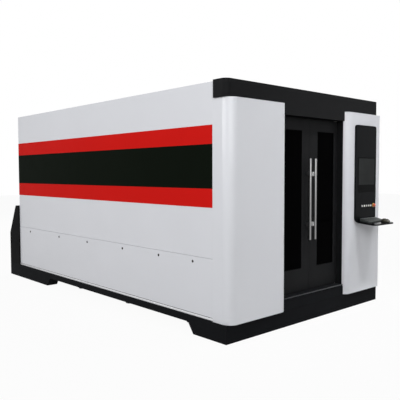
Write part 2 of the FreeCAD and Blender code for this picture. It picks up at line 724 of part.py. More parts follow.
def lift_drive():
    """Two pneumatic cylinders of eight-sided tube on the rear wall; their rods stand on the lift door."""
    bottom = LIFT_DOOR_TOP + CYLINDER_LIFT
    up = (0, 0, 1)
    start = (CYLINDER_OFFSET, CYLINDER_Y, bottom)
    cylinder = prism(start, up, CYLINDER_RADIUS, CYLINDER_LENGTH, CYLINDER_FLATS)
    for z in (bottom, bottom + CYLINDER_LENGTH - CYLINDER_BRACKET_HEIGHT):
        bracket = box(
            CYLINDER_OFFSET - CYLINDER_BRACKET_WIDTH / 2,
            CYLINDER_OFFSET + CYLINDER_BRACKET_WIDTH / 2,
            WALL_REAR,
            CYLINDER_Y,
            z,
            z + CYLINDER_BRACKET_HEIGHT,
        )
        cylinder = cylinder.fuse(bracket)
    bore_length = CYLINDER_LENGTH - CYLINDER_BRACKET_HEIGHT / 2
    cylinder = cylinder.cut(prism(start, up, ROD_RADIUS + ROD_CLEARANCE, bore_length, BORE_FLATS))
    save("lift_cylinders", *both_sides(cylinder))
    rod_length = CYLINDER_LIFT + LIFT_TRAVEL + ROD_STAY
    piston_rod = rod((CYLINDER_OFFSET, CYLINDER_Y, LIFT_DOOR_TOP), up, ROD_RADIUS, rod_length)
    save("lift_rods", *both_sides(piston_rod))


# ---------------------------------------------------------------- front columns and cap
def column_outline(side, opening, side_radius, opening_radius, inset, back):
    """Plan outline of a column, from its outer side round the front to the door opening."""
    way = 1 if opening > side else -1
    x0 = side + way * inset
    x1 = opening - way * inset
    y0 = COLUMN_FRONT + inset
    r0 = side_radius - inset
    r1 = opening_radius - inset
    return [
        line((x0, back, 0), (x0, y0 + r0, 0)),
        quarter((x0, y0 + r0), (x0, y0), (x0 + way * r0, y0), r0),
        line((x0 + way * r0, y0, 0), (x1 - way * r1, y0, 0)),
        quarter((x1 - way * r1, y0), (x1, y0), (x1, y0 + r1), r1),
        line((x1, y0 + r1, 0), (x1, back, 0)),
        line((x1, back, 0), (x0, back, 0)),
    ]


def column(name, side, opening, side_radius):
    """A folded and rolled sheet with end plates, open to the rear."""
    way = 1 if opening > side else -1
    skin = column_outline(side, opening, side_radius, OPENING_CORNER, 0, COLUMN_RETURN)
    room = column_outline(side, opening, side_radius, OPENING_CORNER, COLUMN_SHEET, COLUMN_RETURN + CUT_REACH)
    outer = upright(skin, COLUMN_BOTTOM, COLUMN_TOP)
    inner = upright(room, COLUMN_BOTTOM + COLUMN_SHEET, COLUMN_TOP - COLUMN_SHEET)
    jamb_room = box(
        opening - way * JAMB_WIDTH,
        opening + way * CUT_REACH,
        JAMB_FRONT,
        COLUMN_RETURN + 2 * CUT_REACH,
        COLUMN_BOTTOM - CUT_REACH,
        COLUMN_TOP + CUT_REACH,
    )
    strip = box(side, side + way * COLUMN_SHEET, CAP_RETURN, COLUMN_RETURN, COLUMN_TOP, WALL_TOP)
    save(name, outer.cut(inner).cut(jamb_room).fuse(strip))


def front_cap():
    """The black cap: a band with rounded corners and a top, and the header over the doors."""
    def outline(inset, back):
        x = HALF_WIDTH - inset
        y = inset
        r = CAP_CORNER - inset
        return [
            line((-x, back, 0), (-x, y + r, 0)),
            quarter((-x, y + r), (-x, y), (-x + r, y), r),
            line((-x + r, y, 0), (x - r, y, 0)),
            quarter((x - r, y), (x, y), (x, y + r), r),
            line((x, y + r, 0), (x, back, 0)),
            line((x, back, 0), (-x, back, 0)),
        ]
    outer = upright(outline(0, CAP_RETURN), COLUMN_TOP, OVERALL_HEIGHT)
    room = outline(CAP_SHEET, CAP_RETURN + CUT_REACH)
    inner = upright(room, COLUMN_TOP - CUT_REACH, OVERALL_HEIGHT - CAP_SHEET)
    header = box(OPENING_LEFT, OPENING_RIGHT, 0, CAP_SHEET, HEADER_BOTTOM, COLUMN_TOP)
    save("front_cap", outer.cut(inner).fuse(header))


def door_frame():
    """Jamb posts and a head bar round the doorway."""
    jambs = [
        hollow_box(x, x + JAMB_WIDTH, JAMB_FRONT, FRAME_REAR, COLUMN_BOTTOM, COLUMN_TOP, POST_WALL)
        for x in (OPENING_LEFT - JAMB_WIDTH, OPENING_RIGHT)
    ]
    head = hollow_box(
        OPENING_LEFT, OPENING_RIGHT, CAP_SHEET, FRAME_REAR, HEADER_BOTTOM, COLUMN_TOP, POST_WALL
    )
    save("door_frame", *jambs, head)


# ---------------------------------------------------------------- doors
def door(side_name, way):
    """One door leaf; way is -1 for the left door and 1 for the right."""
    meeting = OPENING_CENTRE + way * MEETING_GAP / 2
    jamb = OPENING_CENTRE + way * (OPENING_WIDTH / 2 - DOOR_GAP)
    bottom = SILL_HEIGHT + DOOR_GAP
    top = HEADER_BOTTOM - DOOR_GAP
    back = DOOR_FACE + DOOR_THICKNESS
    edge_radius = DOOR_THICKNESS / 2
    pivot_x = jamb - way * edge_radius
    pivot_y = DOOR_FACE + edge_radius

    leaf = box(meeting, pivot_x, DOOR_FACE, back, bottom, top)
    leaf = leaf.fuse(rod((pivot_x, pivot_y, bottom), (0, 0, 1), edge_radius, top - bottom)).removeSplitter()
    for z, up in ((bottom, 1), (top, -1)):
        depth = PIVOT_LENGTH - DOOR_GAP + PIVOT_END_GAP
        start = (pivot_x, pivot_y, z)
        leaf = leaf.cut(prism(start, (0, 0, up), PIVOT_RADIUS + PIVOT_CLEARANCE, depth, BORE_FLATS))

    window_near = OPENING_CENTRE + way * MEETING_STILE
    window_far = window_near + way * WINDOW_WIDTH
    front = DOOR_FACE - CUT_REACH
    leaf = leaf.cut(box(window_near, window_far, front, back + CUT_REACH, WINDOW_BOTTOM, WINDOW_TOP))
    core_end = jamb - way * 2 * edge_radius
    for x0, x1, z0, z1 in (
        (meeting, core_end, bottom, WINDOW_BOTTOM),
        (meeting, core_end, WINDOW_TOP, top),
        (meeting, window_near, WINDOW_BOTTOM, WINDOW_TOP),
    ):
        x0, x1 = min(x0, x1) + DOOR_SKIN, max(x0, x1) - DOOR_SKIN
        leaf = leaf.cut(box(x0, x1, DOOR_FACE + DOOR_SKIN, back - DOOR_SKIN, z0 + DOOR_SKIN, z1 - DOOR_SKIN))
    save(side_name + "_door_leaf", leaf)
    pane_front = DOOR_FACE + PANE_RECESS
    pane = box(window_near, window_far, pane_front, pane_front + PANE_THICKNESS, WINDOW_BOTTOM, WINDOW_TOP)
    save(side_name + "_door_window", pane)

    bar_x = OPENING_CENTRE + way * HANDLE_OFFSET
    bar_y = DOOR_FACE - HANDLE_STANDOFF
    bar = rod((bar_x, bar_y, HANDLE_BOTTOM), (0, 0, 1), HANDLE_RADIUS, HANDLE_TOP - HANDLE_BOTTOM)
    posts = []
    for z in (HANDLE_BOTTOM + HANDLE_POST_INSET, HANDLE_TOP - HANDLE_POST_INSET):
        x0, x1 = bar_x - HANDLE_POST_WIDTH / 2, bar_x + HANDLE_POST_WIDTH / 2
        z0, z1 = z - HANDLE_POST_HEIGHT / 2, z + HANDLE_POST_HEIGHT / 2
        posts.append(box(x0, x1, bar_y, DOOR_FACE, z0, z1).cut(bar))
    save(side_name + "_door_handle", bar, *posts)
    return pivot_x, pivot_y


def pivot_pins(pivots):
    """Pins that stand in the sill and the head, one above and one below each leaf."""
    pins = []
    for x, y in pivots:
        for z, up in ((SILL_HEIGHT, 1), (HEADER_BOTTOM, -1)):
            pin = rod((x, y, z), (0, 0, up), PIVOT_RADIUS, PIVOT_LENGTH)
            washer_height = PIVOT_WASHER_HEIGHT
            washer = prism((x, y, z), (0, 0, up), PIVOT_WASHER_RADIUS, washer_height, PIVOT_WASHER_FLATS)
            pins.append(pin.fuse(washer).removeSplitter())
    save("door_pivots", *pins)


# ---------------------------------------------------------------- operator console
def button_places():
    """(name, x, stem radius) for each button, with the emergency stop at the right end."""
    first = CONSOLE_CENTRE + CONTROLS_OFFSET - BUTTON_PITCH * 2
    places = [(name, first + BUTTON_PITCH * i, BUTTON_RADIUS) for i, name in enumerate(BUTTON_NAMES)]
    stop_x = places[-1][1] + COLLAR_RADIUS + ESTOP_COLLAR_RADIUS + BUTTON_PITCH / 2
    return places + [("estop_knob", stop_x, BUTTON_RADIUS)]


def console_profile():
    """Side view of the folded console, as edges in the plane x = 0: panel, bend and sloping tray."""
    slope = (TRAY_BACK_TOP - TRAY_FRONT_TOP) / TRAY_REACH
    bend_y = COLUMN_FRONT - BEND_RADIUS
    bend_z = TRAY_BACK_TOP - TRAY_THICKNESS - slope * (CONSOLE_FACE - bend_y)
    centre = Vector(0, bend_y, bend_z + BEND_RADIUS)
    start = Vector(0, COLUMN_FRONT, centre.z)
    end = Vector(0, bend_y, bend_z)
    middle = centre + Vector(0, 1, -1).normalize() * BEND_RADIUS
    points = [
        end,
        Vector(0, TRAY_FRONT, TRAY_FRONT_TOP - TRAY_THICKNESS),
        Vector(0, TRAY_FRONT, TRAY_FRONT_TOP),
        Vector(0, CONSOLE_FACE, TRAY_BACK_TOP),
        Vector(0, CONSOLE_FACE, CONSOLE_TOP),
        Vector(0, COLUMN_FRONT, CONSOLE_TOP),
        start,
    ]
    edges = [Part.LineSegment(a, b).toShape() for a, b in zip(points, points[1:])]
    return edges + [Part.Arc(start, middle, end).toShape()]


def operator_console():
    """The tall panel on the right column, folded forwards at its foot into the keyboard tray."""
    console = Part.Face(Part.Wire(console_profile())).extrude(Vector(CONSOLE_WIDTH, 0, 0))
    console.translate(Vector(CONSOLE_CENTRE - CONSOLE_WIDTH / 2, 0, 0))
    top = CONSOLE_TOP - PLACE_TOLERANCE
    corners = [e for e in console.Edges if runs_along(e, 1) and e.BoundBox.ZMin > top]
    console = console.makeFillet(CONSOLE_TOP_CORNER, corners)
    front = TRAY_FRONT + PLACE_TOLERANCE
    corners = [e for e in console.Edges if runs_along(e, 2) and e.BoundBox.YMax < front]
    console = console.makeFillet(TRAY_CORNER, corners)

    for _, x, radius in button_places():
        place = (x, CONSOLE_FACE, BUTTON_Z)
        console = console.cut(prism(place, (0, 1, 0), radius + BUTTON_CLEARANCE, BUTTON_POCKET, BUTTON_FLATS))
    x0 = CONSOLE_CENTRE + CONTROLS_OFFSET - SCREEN_WIDTH / 2
    z0 = SCREEN_CENTRE_Z - SCREEN_HEIGHT / 2
    screen = box(
        x0,
        x0 + SCREEN_WIDTH,
        CONSOLE_FACE - SCREEN_PROUD,
        CONSOLE_FACE - SCREEN_PROUD + SCREEN_THICKNESS,
        z0,
        z0 + SCREEN_HEIGHT,
    )
    console = console.cut(screen)
    save("operator_console", console)
    save("display_screen", screen)


def buttons():
    collars = []
    forward = (0, -1, 0)
    backward = (0, 1, 0)
    for name, x, radius in button_places():
        stop = name == "estop_knob"
        tip = CONSOLE_FACE - BUTTON_PROUD
        body = prism((x, tip, BUTTON_Z), backward, radius, BUTTON_LENGTH, BUTTON_FLATS)
        if stop:
            lift = CONSOLE_FACE - ESTOP_LIFT
            stem_length = ESTOP_LIFT + BUTTON_LENGTH - BUTTON_PROUD
            stem = prism((x, lift, BUTTON_Z), backward, radius, stem_length, BUTTON_FLATS)
            head = prism((x, lift, BUTTON_Z), forward, ESTOP_RADIUS, ESTOP_HEAD_HEIGHT, ESTOP_FLATS)
            crown = [e for e in head.Edges if e.BoundBox.YMax < lift - ESTOP_HEAD_HEIGHT / 2]
            head = head.makeChamfer(ESTOP_HEAD_HEIGHT / 2, crown)
            body = stem.fuse(head).removeSplitter()
        save(name, body)
        outer = ESTOP_COLLAR_RADIUS if stop else COLLAR_RADIUS
        place = (x, CONSOLE_FACE, BUTTON_Z)
        ring = prism(place, forward, outer, COLLAR_HEIGHT, BUTTON_FLATS)
        hole = prism(place, forward, radius + BUTTON_CLEARANCE, COLLAR_HEIGHT, BUTTON_FLATS)
        collars.append(ring.cut(hole))
    save("button_collars", *collars)


def on_tray(shape):
    """Lays a shape drawn on the plane z = 0, with its back at y = 0, on the sloping tray."""
    angle = math.degrees(math.atan2(TRAY_BACK_TOP - TRAY_FRONT_TOP, TRAY_REACH))
    shape = shape.copy()
    shape.rotate(Vector(0, 0, 0), Vector(1, 0, 0), angle)
    shape.translate(Vector(0, CONSOLE_FACE, TRAY_BACK_TOP))
    return shape


def keyboard_and_mouse():
    left = CONSOLE_CENTRE - CONSOLE_WIDTH / 2 + KEYBOARD_LEFT_MARGIN
    back = -KEYBOARD_SETBACK
    front = back - KEYBOARD_DEPTH
    wedge = [(front, 0), (back, 0), (back, KEYBOARD_BACK_HEIGHT), (front, KEYBOARD_FRONT_HEIGHT)]
    save("keyboard", on_tray(across(wedge, left, left + KEYBOARD_WIDTH)))

    right = CONSOLE_RIGHT - MOUSE_RIGHT_MARGIN
    centre_x = right - MOUSE_WIDTH / 2
    radius = (MOUSE_LENGTH**2 / 4 + MOUSE_HEIGHT**2) / (2 * MOUSE_HEIGHT)
    hump = rod((right - MOUSE_WIDTH, 0, MOUSE_HEIGHT - radius), (1, 0, 0), radius, MOUSE_WIDTH)
    plan = []
    for i in range(MOUSE_FLATS + 1):
        angle = 2 * math.pi * i / MOUSE_FLATS
        x = centre_x + MOUSE_WIDTH / 2 * math.cos(angle)
        plan.append(Vector(x, MOUSE_LENGTH / 2 * math.sin(angle), 0))
    body = Part.Face(Part.makePolygon(plan)).extrude(Vector(0, 0, MOUSE_HEIGHT)).common(hump)
    body.translate(Vector(0, front - MOUSE_GAP - MOUSE_LENGTH / 2, 0))
    save("mouse", on_tray(body))


# ---------------------------------------------------------------- cabinets
def cabinets():
    front = COLUMN_RETURN + CABINET_GAP
    outer = WALL_INNER - POST_SIZE - CABINET_GAP
    for name, x0, x1, height in (
        ("electrical_cabinet", -outer, -outer + ELECTRICAL_WIDTH, ELECTRICAL_HEIGHT),
        ("laser_source", outer - LASER_WIDTH, outer, LASER_HEIGHT),
    ):
        cabinet = box(x0, x1, front, CABINET_REAR, PLINTH_TOP, PLINTH_TOP + height)
        cabinet = cabinet.makeFillet(CABINET_EDGE, [e for e in cabinet.Edges if runs_along(e, 2)])
        inner = box(
            x0 + CABINET_WALL,
            x1 - CABINET_WALL,
            front + CABINET_WALL,
            CABINET_REAR - CABINET_WALL,
            PLINTH_TOP + CABINET_WALL,
            PLINTH_TOP + height - CABINET_WALL,
        )
        save(name, cabinet.cut(inner))


# ---------------------------------------------------------------- machine bed
def machine_bed():
    """Two long closed beams with tracks for the pallet's wheels, tied by cross members.

    Lugs on their outer faces are bolted to the plinth's side rails.
    """
    beam = hollow_box(BED_INNER, BED_OUTER, BED_FRONT, BED_REAR, BED_BOTTOM, BED_TOP, BED_WALL)
    track_inner = PALLET_OUTER + WHEEL_SIDE_GAP / 2
    track = box(track_inner, BED_INNER, BED_FRONT, BED_REAR, TRACK_TOP - TRACK_HEIGHT, TRACK_TOP)
    crosses = []
    span = BED_REAR - BED_FRONT - CROSS_LENGTH
    for share in (0, 0.5, 1):
        y = BED_FRONT + span * share
        cross = hollow_box(-BED_INNER, BED_INNER, y, y + CROSS_LENGTH, CROSS_BOTTOM, CROSS_TOP, BED_WALL)
        crosses.append(cross)
    lugs = []
    rail_length = REAR_PLINTH_FRONT - FRONT_PLINTH_REAR
    for i in range(LUGS_PER_SIDE):
        y = FRONT_PLINTH_REAR + rail_length * (i + 1) / (LUGS_PER_SIDE + 1)
        z = (BED_BOTTOM + PLINTH_TOP) / 2
        lugs += both_sides(
            box(
                BED_OUTER,
                HALF_WIDTH - RAIL_WIDTH,
                y - LUG_LENGTH / 2,
                y + LUG_LENGTH / 2,
                z - LUG_HEIGHT / 2,
                z + LUG_HEIGHT / 2,
            )
        )
    save("machine_bed", *both_sides(beam), *both_sides(track), *crosses, *lugs)

    feet = []
    pitch = (BED_REAR - BED_FRONT - 2 * FOOT_END_INSET) / (FOOT_ROWS - 1)
    for row in range(FOOT_ROWS):
        place = (BED_INNER + BED_BEAM_WIDTH / 2, BED_FRONT + FOOT_END_INSET + pitch * row, 0)
        pad = prism(place, (0, 0, 1), PAD_RADIUS, PAD_HEIGHT, FOOT_FLATS)
        stem = prism(place, (0, 0, 1), STEM_RADIUS, BED_BOTTOM, FOOT_FLATS)
        feet += both_sides(pad.fuse(stem).removeSplitter())
    save("bed_feet", *feet)


def scrap_trays():
    """Open trays that lie on the cross members, under the pallet."""
    start = BED_FRONT + SCRAP_TRAY_INSET
    pitch = (BED_REAR - SCRAP_TRAY_INSET + SCRAP_TRAY_GAP - start) / SCRAP_TRAY_COUNT
    tray_half = BED_INNER - SCRAP_TRAY_SIDE_GAP
    trays = []
    for i in range(SCRAP_TRAY_COUNT):
        y0 = start + pitch * i
        y1 = y0 + pitch - SCRAP_TRAY_GAP
        top = CROSS_TOP + SCRAP_TRAY_HEIGHT
        outer = box(-tray_half, tray_half, y0, y1, CROSS_TOP, top)
        inner = box(
            -tray_half + SCRAP_TRAY_SHEET,
            tray_half - SCRAP_TRAY_SHEET,
            y0 + SCRAP_TRAY_SHEET,
            y1 - SCRAP_TRAY_SHEET,
            CROSS_TOP + SCRAP_TRAY_SHEET,
            top + CUT_REACH,
        )
        trays.append(outer.cut(inner))
    save("scrap_trays", *trays)


# ---------------------------------------------------------------- linear guides
def guide_rail(length):
    return box(-RAIL_SECTION / 2, RAIL_SECTION / 2, 0, length, 0, RAIL_HEIGHT)


def guide_block():
    """A runner block that straddles a guide rail, open along its underside."""
    channel = RAIL_SECTION / 2 + GUIDE_CLEARANCE
    roof = RAIL_HEIGHT + GUIDE_CLEARANCE
    block = box(-BLOCK_WIDTH / 2, BLOCK_WIDTH / 2, 0, BLOCK_LENGTH, BLOCK_LIFT, BLOCK_TOP)
    return block.cut(box(-channel, channel, -CUT_REACH, BLOCK_LENGTH + CUT_REACH, 0, roof))


def long_axis():
    start = BED_FRONT + RAIL_END_INSET
    length = BED_REAR - RAIL_END_INSET - start
    rail = laid(guide_rail(length), (RAIL_AXIS, start, BED_TOP), (0, 1, 0), (0, 0, 1))
    save("long_axis_rails", *both_sides(rail))
    rack_x = RAIL_AXIS + RACK_OFFSET
    rack = box(rack_x, rack_x + RACK_SECTION, start, start + length, BED_TOP, BED_TOP + RACK_SECTION)
    save("drive_racks", *both_sides(rack))


# ---------------------------------------------------------------- gantry
def gantry():
    """A closed beam across the bed, on two end plates with runner blocks."""
    top = GANTRY_BOTTOM + GANTRY_HEIGHT
    back = GANTRY_FACE + GANTRY_DEPTH
    beam = hollow_box(-GANTRY_HALF, GANTRY_HALF, GANTRY_FACE, back, GANTRY_BOTTOM, top, GANTRY_WALL)
    x0 = RAIL_AXIS - END_PLATE_INSIDE
    x1 = RAIL_AXIS + END_PLATE_OUTSIDE
    y0 = GANTRY_Y - END_PLATE_LENGTH / 2
    y1 = GANTRY_Y + END_PLATE_LENGTH / 2
    plate = box(x0, x1, y0, y1, BED_TOP + BLOCK_TOP, GANTRY_BOTTOM)
    for y in (y0, y1 - BLOCK_LENGTH):
        plate = plate.fuse(laid(guide_block(), (RAIL_AXIS, y, BED_TOP), (0, 1, 0), (0, 0, 1)))
    start = (PINION_AXIS, MOTOR_Y, BED_TOP)
    bore = prism(start, (0, 0, 1), SHAFT_RADIUS + SHAFT_CLEARANCE, GANTRY_BASE, BORE_FLATS)
    for side in both_sides(plate.cut(bore)):
        beam = beam.fuse(side)
    save("gantry_beam", beam.removeSplitter())

    foot = (PINION_AXIS, MOTOR_Y, GANTRY_BOTTOM)
    gearbox = prism(foot, (0, 0, 1), GEARBOX_RADIUS, GEARBOX_HEIGHT, GEARBOX_FLATS)
    socket = prism(foot, (0, 0, 1), SHAFT_RADIUS + SHAFT_CLEARANCE, GEARBOX_HEIGHT / 2, BORE_FLATS)
    motor = box(
        PINION_AXIS - MOTOR_SIZE / 2,
        PINION_AXIS + MOTOR_SIZE / 2,
        MOTOR_Y - MOTOR_SIZE / 2,
        MOTOR_Y + MOTOR_SIZE / 2,
        GANTRY_BOTTOM + GEARBOX_HEIGHT,
        GANTRY_BOTTOM + GEARBOX_HEIGHT + MOTOR_HEIGHT,
    )
    motor = motor.makeChamfer(MOTOR_EDGE, [e for e in motor.Edges if runs_along(e, 2)])
    motor = motor.fuse(gearbox).cut(socket)
    save("gantry_motors", *both_sides(motor))


def drive_pinions():
    """A pinion and its shaft on each side, drawn at the pitch circle beside the rack's pitch line."""
    bottom = BED_TOP + PINION_LIFT
    gear = prism((PINION_AXIS, MOTOR_Y, bottom), (0, 0, 1), PINION_RADIUS, PINION_WIDTH, PINION_FLATS)
    shaft_top = GANTRY_BOTTOM + GEARBOX_HEIGHT / 2 - GUIDE_CLEARANCE
    shaft = rod((PINION_AXIS, MOTOR_Y, bottom), (0, 0, 1), SHAFT_RADIUS, shaft_top - bottom)
    pinion = gear.fuse(shaft).removeSplitter()
    save("right_drive_pinion", pinion)
    save("left_drive_pinion", mirrored(pinion))


def cross_rail_heights():
    return GANTRY_BOTTOM + CROSS_RAIL_INSET, GANTRY_BOTTOM + GANTRY_HEIGHT - CROSS_RAIL_INSET


def head_carriage():
    """The plate that runs across the gantry's front face, with two grooves for the head's slide."""
    across_beam = (1, 0, 0)
    forward = (0, -1, 0)
    rails = []
    plate = box(
        HEAD_X - HEAD_PLATE_WIDTH / 2,
        HEAD_X + HEAD_PLATE_WIDTH / 2,
        HEAD_PLATE_FACE,
        HEAD_PLATE_BACK,
        GANTRY_BOTTOM + HEAD_PLATE_MARGIN,
        GANTRY_BOTTOM + GANTRY_HEIGHT - HEAD_PLATE_MARGIN,
    )
    for z in cross_rail_heights():
        rail = guide_rail(2 * CROSS_RAIL_HALF)
        rails.append(laid(rail, (-CROSS_RAIL_HALF, GANTRY_FACE, z), across_beam, forward))
        for x in (HEAD_X - HEAD_PLATE_WIDTH / 2, HEAD_X + HEAD_PLATE_WIDTH / 2 - BLOCK_LENGTH):
            plate = plate.fuse(laid(guide_block(), (x, GANTRY_FACE, z), across_beam, forward))
    save("cross_rails", *rails)
    for side in (-1, 1):
        x = HEAD_X + side * KEY_OFFSET
        plate = plate.cut(slide_key(x, GUIDE_CLEARANCE, GANTRY_BOTTOM, GANTRY_HEIGHT))
    save("head_carriage", plate.removeSplitter())


def slide_key(x, clearance, bottom, height):
    half = KEY_WIDTH / 2 + clearance
    back = HEAD_PLATE_FACE + KEY_DEPTH + clearance
    return box(x - half, x + half, SLIDE_FACE + SLIDE_THICKNESS, back, bottom, bottom + height)


def head_slide():
    """The plate that carries the cutting head up and down, with two keys in the carriage's grooves."""
    x0 = HEAD_X - SLIDE_WIDTH / 2
    back = SLIDE_FACE + SLIDE_THICKNESS
    slide = box(x0, x0 + SLIDE_WIDTH, SLIDE_FACE, back, SLIDE_BOTTOM, SLIDE_BOTTOM + SLIDE_HEIGHT)
    for side in (-1, 1):
        slide = slide.fuse(slide_key(HEAD_X + side * KEY_OFFSET, 0, SLIDE_BOTTOM, SLIDE_HEIGHT))
    save("head_slide", slide.removeSplitter())


def cutting_head():
    """A chamfered housing on a cone and a collar, with the nozzle below."""
    bottom = SLIDE_BOTTOM + HEAD_BODY_LIFT
    centre_y = SLIDE_FACE - HEAD_SIZE / 2
    half = HEAD_SIZE / 2
    top = bottom + HEAD_BODY_HEIGHT
    housing = box(HEAD_X - half, HEAD_X + half, centre_y - half, SLIDE_FACE, bottom, top)
    front_edges = [e for e in housing.Edges if runs_along(e, 2) and e.BoundBox.YMax < centre_y]
    housing = housing.makeChamfer(HEAD_CHAMFER, front_edges)
    cone_bottom = bottom - HEAD_CONE_HEIGHT
    centre = (HEAD_X, centre_y)
    cone_foot = HEAD_COLLAR_RADIUS - HEAD_CHAMFER / 2
    cone = taper(centre, cone_bottom, cone_foot, bottom, half - HEAD_STEP, HEAD_FLATS)
    collar_bottom = cone_bottom - HEAD_COLLAR_HEIGHT
    collar = prism((*centre, collar_bottom), (0, 0, 1), HEAD_COLLAR_RADIUS, HEAD_COLLAR_HEIGHT, HEAD_FLATS)
    head = housing.fuse(cone).fuse(collar)
    save("cutting_head", head.removeSplitter())

    nozzle_bottom = collar_bottom - NOZZLE_HEIGHT
    flange_bottom = collar_bottom - NOZZLE_FLANGE
    tip = taper(centre, nozzle_bottom, NOZZLE_TIP_RADIUS, flange_bottom, NOZZLE_RADIUS, HEAD_FLATS)
    flange = prism((*centre, flange_bottom), (0, 0, 1), NOZZLE_RADIUS, NOZZLE_FLANGE, HEAD_FLATS)
    bore = prism((*centre, nozzle_bottom), (0, 0, 1), NOZZLE_BORE, NOZZLE_HEIGHT, NOZZLE_BORE_FLATS)
    save("nozzle", tip.fuse(flange).cut(bore).removeSplitter())


# ---------------------------------------------------------------- pallet
def axle_places():
    return PALLET_FRONT + AXLE_INSET, PALLET_REAR - AXLE_INSET


def pallet():
    """A welded frame of square tube with ledges for its slats."""
    def bar(x0, x1, y0, y1):
        return hollow_box(x0, x1, y0, y1, PALLET_BAR_BOTTOM, PALLET_BAR_TOP, PALLET_WALL)
    bars = []
    for side in both_sides(bar(PALLET_INNER, PALLET_OUTER, PALLET_FRONT, PALLET_REAR)):
        for y in axle_places():
            start = (-BED_INNER, y, AXLE_Z)
            hole = prism(start, (1, 0, 0), AXLE_RADIUS + AXLE_CLEARANCE, 2 * BED_INNER, BORE_FLATS)
            side = side.cut(hole)
        bars.append(side)
    for y in (PALLET_FRONT, PALLET_REAR - PALLET_END_LENGTH):
        bars.append(bar(-PALLET_INNER, PALLET_INNER, y, y + PALLET_END_LENGTH))
    ledge = box(
        PALLET_INNER - LEDGE_WIDTH,
        PALLET_INNER,
        PALLET_FRONT + PALLET_END_LENGTH,
        PALLET_REAR - PALLET_END_LENGTH,
        SLAT_BOTTOM - LEDGE_THICKNESS,
        SLAT_BOTTOM,
    )
    save("pallet_frame", *bars, *both_sides(ledge))


def pallet_slats():
    """Saw-tooth slats that stand on edge across the pallet and carry the sheet on their tips."""
    half = PALLET_INNER - SLAT_END_GAP
    tooth = 2 * half / SLAT_TEETH
    valley = SLAT_TOP - SLAT_TOOTH_DEPTH
    outline = [(-half, SLAT_BOTTOM), (half, SLAT_BOTTOM), (half, valley)]
    for i in range(SLAT_TEETH):
        x = half - tooth * i
        outline += [(x - tooth / 2, SLAT_TOP), (x - tooth, valley)]
    points = [Vector(x, 0, z) for x, z in outline]
    blank = Part.Face(Part.makePolygon(points + points[:1])).extrude(Vector(0, SLAT_THICKNESS, 0))
    slats = []
    for i in range(SLAT_COUNT):
        slat = blank.copy()
        slat.translate(Vector(0, PALLET_FRONT + SLAT_END_MARGIN + SLAT_PITCH * i - SLAT_THICKNESS / 2, 0))
        slats.append(slat)
    save("pallet_slats", *slats)


def wheelsets():
    """Two through axles, each with a wheel outside either side bar."""
    wheel_inner = PALLET_OUTER + WHEEL_SIDE_GAP
    end = wheel_inner + WHEEL_WIDTH
    for name, y in zip(("front_wheelset", "rear_wheelset"), axle_places()):
        axle = rod((-end, y, AXLE_Z), (1, 0, 0), AXLE_RADIUS, 2 * end)
        wheel = rod((wheel_inner, y, AXLE_Z), (1, 0, 0), WHEEL_RADIUS, WHEEL_WIDTH)
        for side in both_sides(wheel):
            axle = axle.fuse(side)
        save(name, axle.removeSplitter())


# ---------------------------------------------------------------- exhaust
def exhaust_collar():
    """A flanged spigot that an extraction duct slides over."""
    backward = (0, 1, 0)
    place = (EXHAUST_X, WALL_REAR, EXHAUST_Z)
    flange = prism(place, backward, EXHAUST_FLANGE_RADIUS, EXHAUST_FLANGE, EXHAUST_FLATS)
    spigot = rod(place, backward, EXHAUST_RADIUS, EXHAUST_LENGTH)
    way_through = prism(place, backward, EXHAUST_RADIUS - EXHAUST_WALL, EXHAUST_LENGTH, EXHAUST_FLATS)
    collar = flange.fuse(spigot).cut(way_through)
    save("exhaust_collar", collar.removeSplitter())


# ---------------------------------------------------------------- build
os.makedirs("parts", exist_ok=True)
front_plinth()
base_frame()
door_sill()
dock_cheeks()
cabin_frame()
side_walls()
side_bands()
roof_panels()
rear_wall()
exhaust_collar()
lift_door()
lift_drive()
column("front_left_column", -WALL_FACE, OPENING_LEFT, COLUMN_CORNER)
column("console_pillar", WALL_FACE, OPENING_RIGHT, PILLAR_CORNER)
front_cap()
door_frame()
pivot_pins([door("left", -1), door("right", 1)])
operator_console()
buttons()
keyboard_and_mouse()
cabinets()
machine_bed()
scrap_trays()
long_axis()
gantry()
drive_pinions()
head_carriage()
head_slide()
cutting_head()
pallet()
pallet_slats()
wheelsets()
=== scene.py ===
import json
import math

import bmesh
import bpy
from mathutils import Matrix, Vector


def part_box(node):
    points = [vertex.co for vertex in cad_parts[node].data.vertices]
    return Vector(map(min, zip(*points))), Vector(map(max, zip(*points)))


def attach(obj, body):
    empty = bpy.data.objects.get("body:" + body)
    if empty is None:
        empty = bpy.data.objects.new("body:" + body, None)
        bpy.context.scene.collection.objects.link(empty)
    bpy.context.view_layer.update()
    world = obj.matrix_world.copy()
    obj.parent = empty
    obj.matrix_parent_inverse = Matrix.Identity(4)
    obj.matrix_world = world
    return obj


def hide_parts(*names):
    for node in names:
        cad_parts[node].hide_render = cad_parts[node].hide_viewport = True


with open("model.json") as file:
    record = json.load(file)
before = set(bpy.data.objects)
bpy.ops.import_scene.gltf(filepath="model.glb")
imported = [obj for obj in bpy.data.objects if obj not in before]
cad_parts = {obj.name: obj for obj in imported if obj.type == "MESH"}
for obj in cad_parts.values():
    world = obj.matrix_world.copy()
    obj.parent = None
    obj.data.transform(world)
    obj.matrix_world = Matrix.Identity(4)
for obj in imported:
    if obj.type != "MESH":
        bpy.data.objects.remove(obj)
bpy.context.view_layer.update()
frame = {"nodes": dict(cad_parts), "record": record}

# The looks of an enclosed laser cutting machine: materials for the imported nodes, the small parts
# that the solids leave out, the studio and the camera. Metres. X runs along the door end, +Y to
# the rear.

NODES = frame["nodes"]
FRONT, REAR, UP = (0, -1, 0), (0, 1, 0), (0, 0, 1)

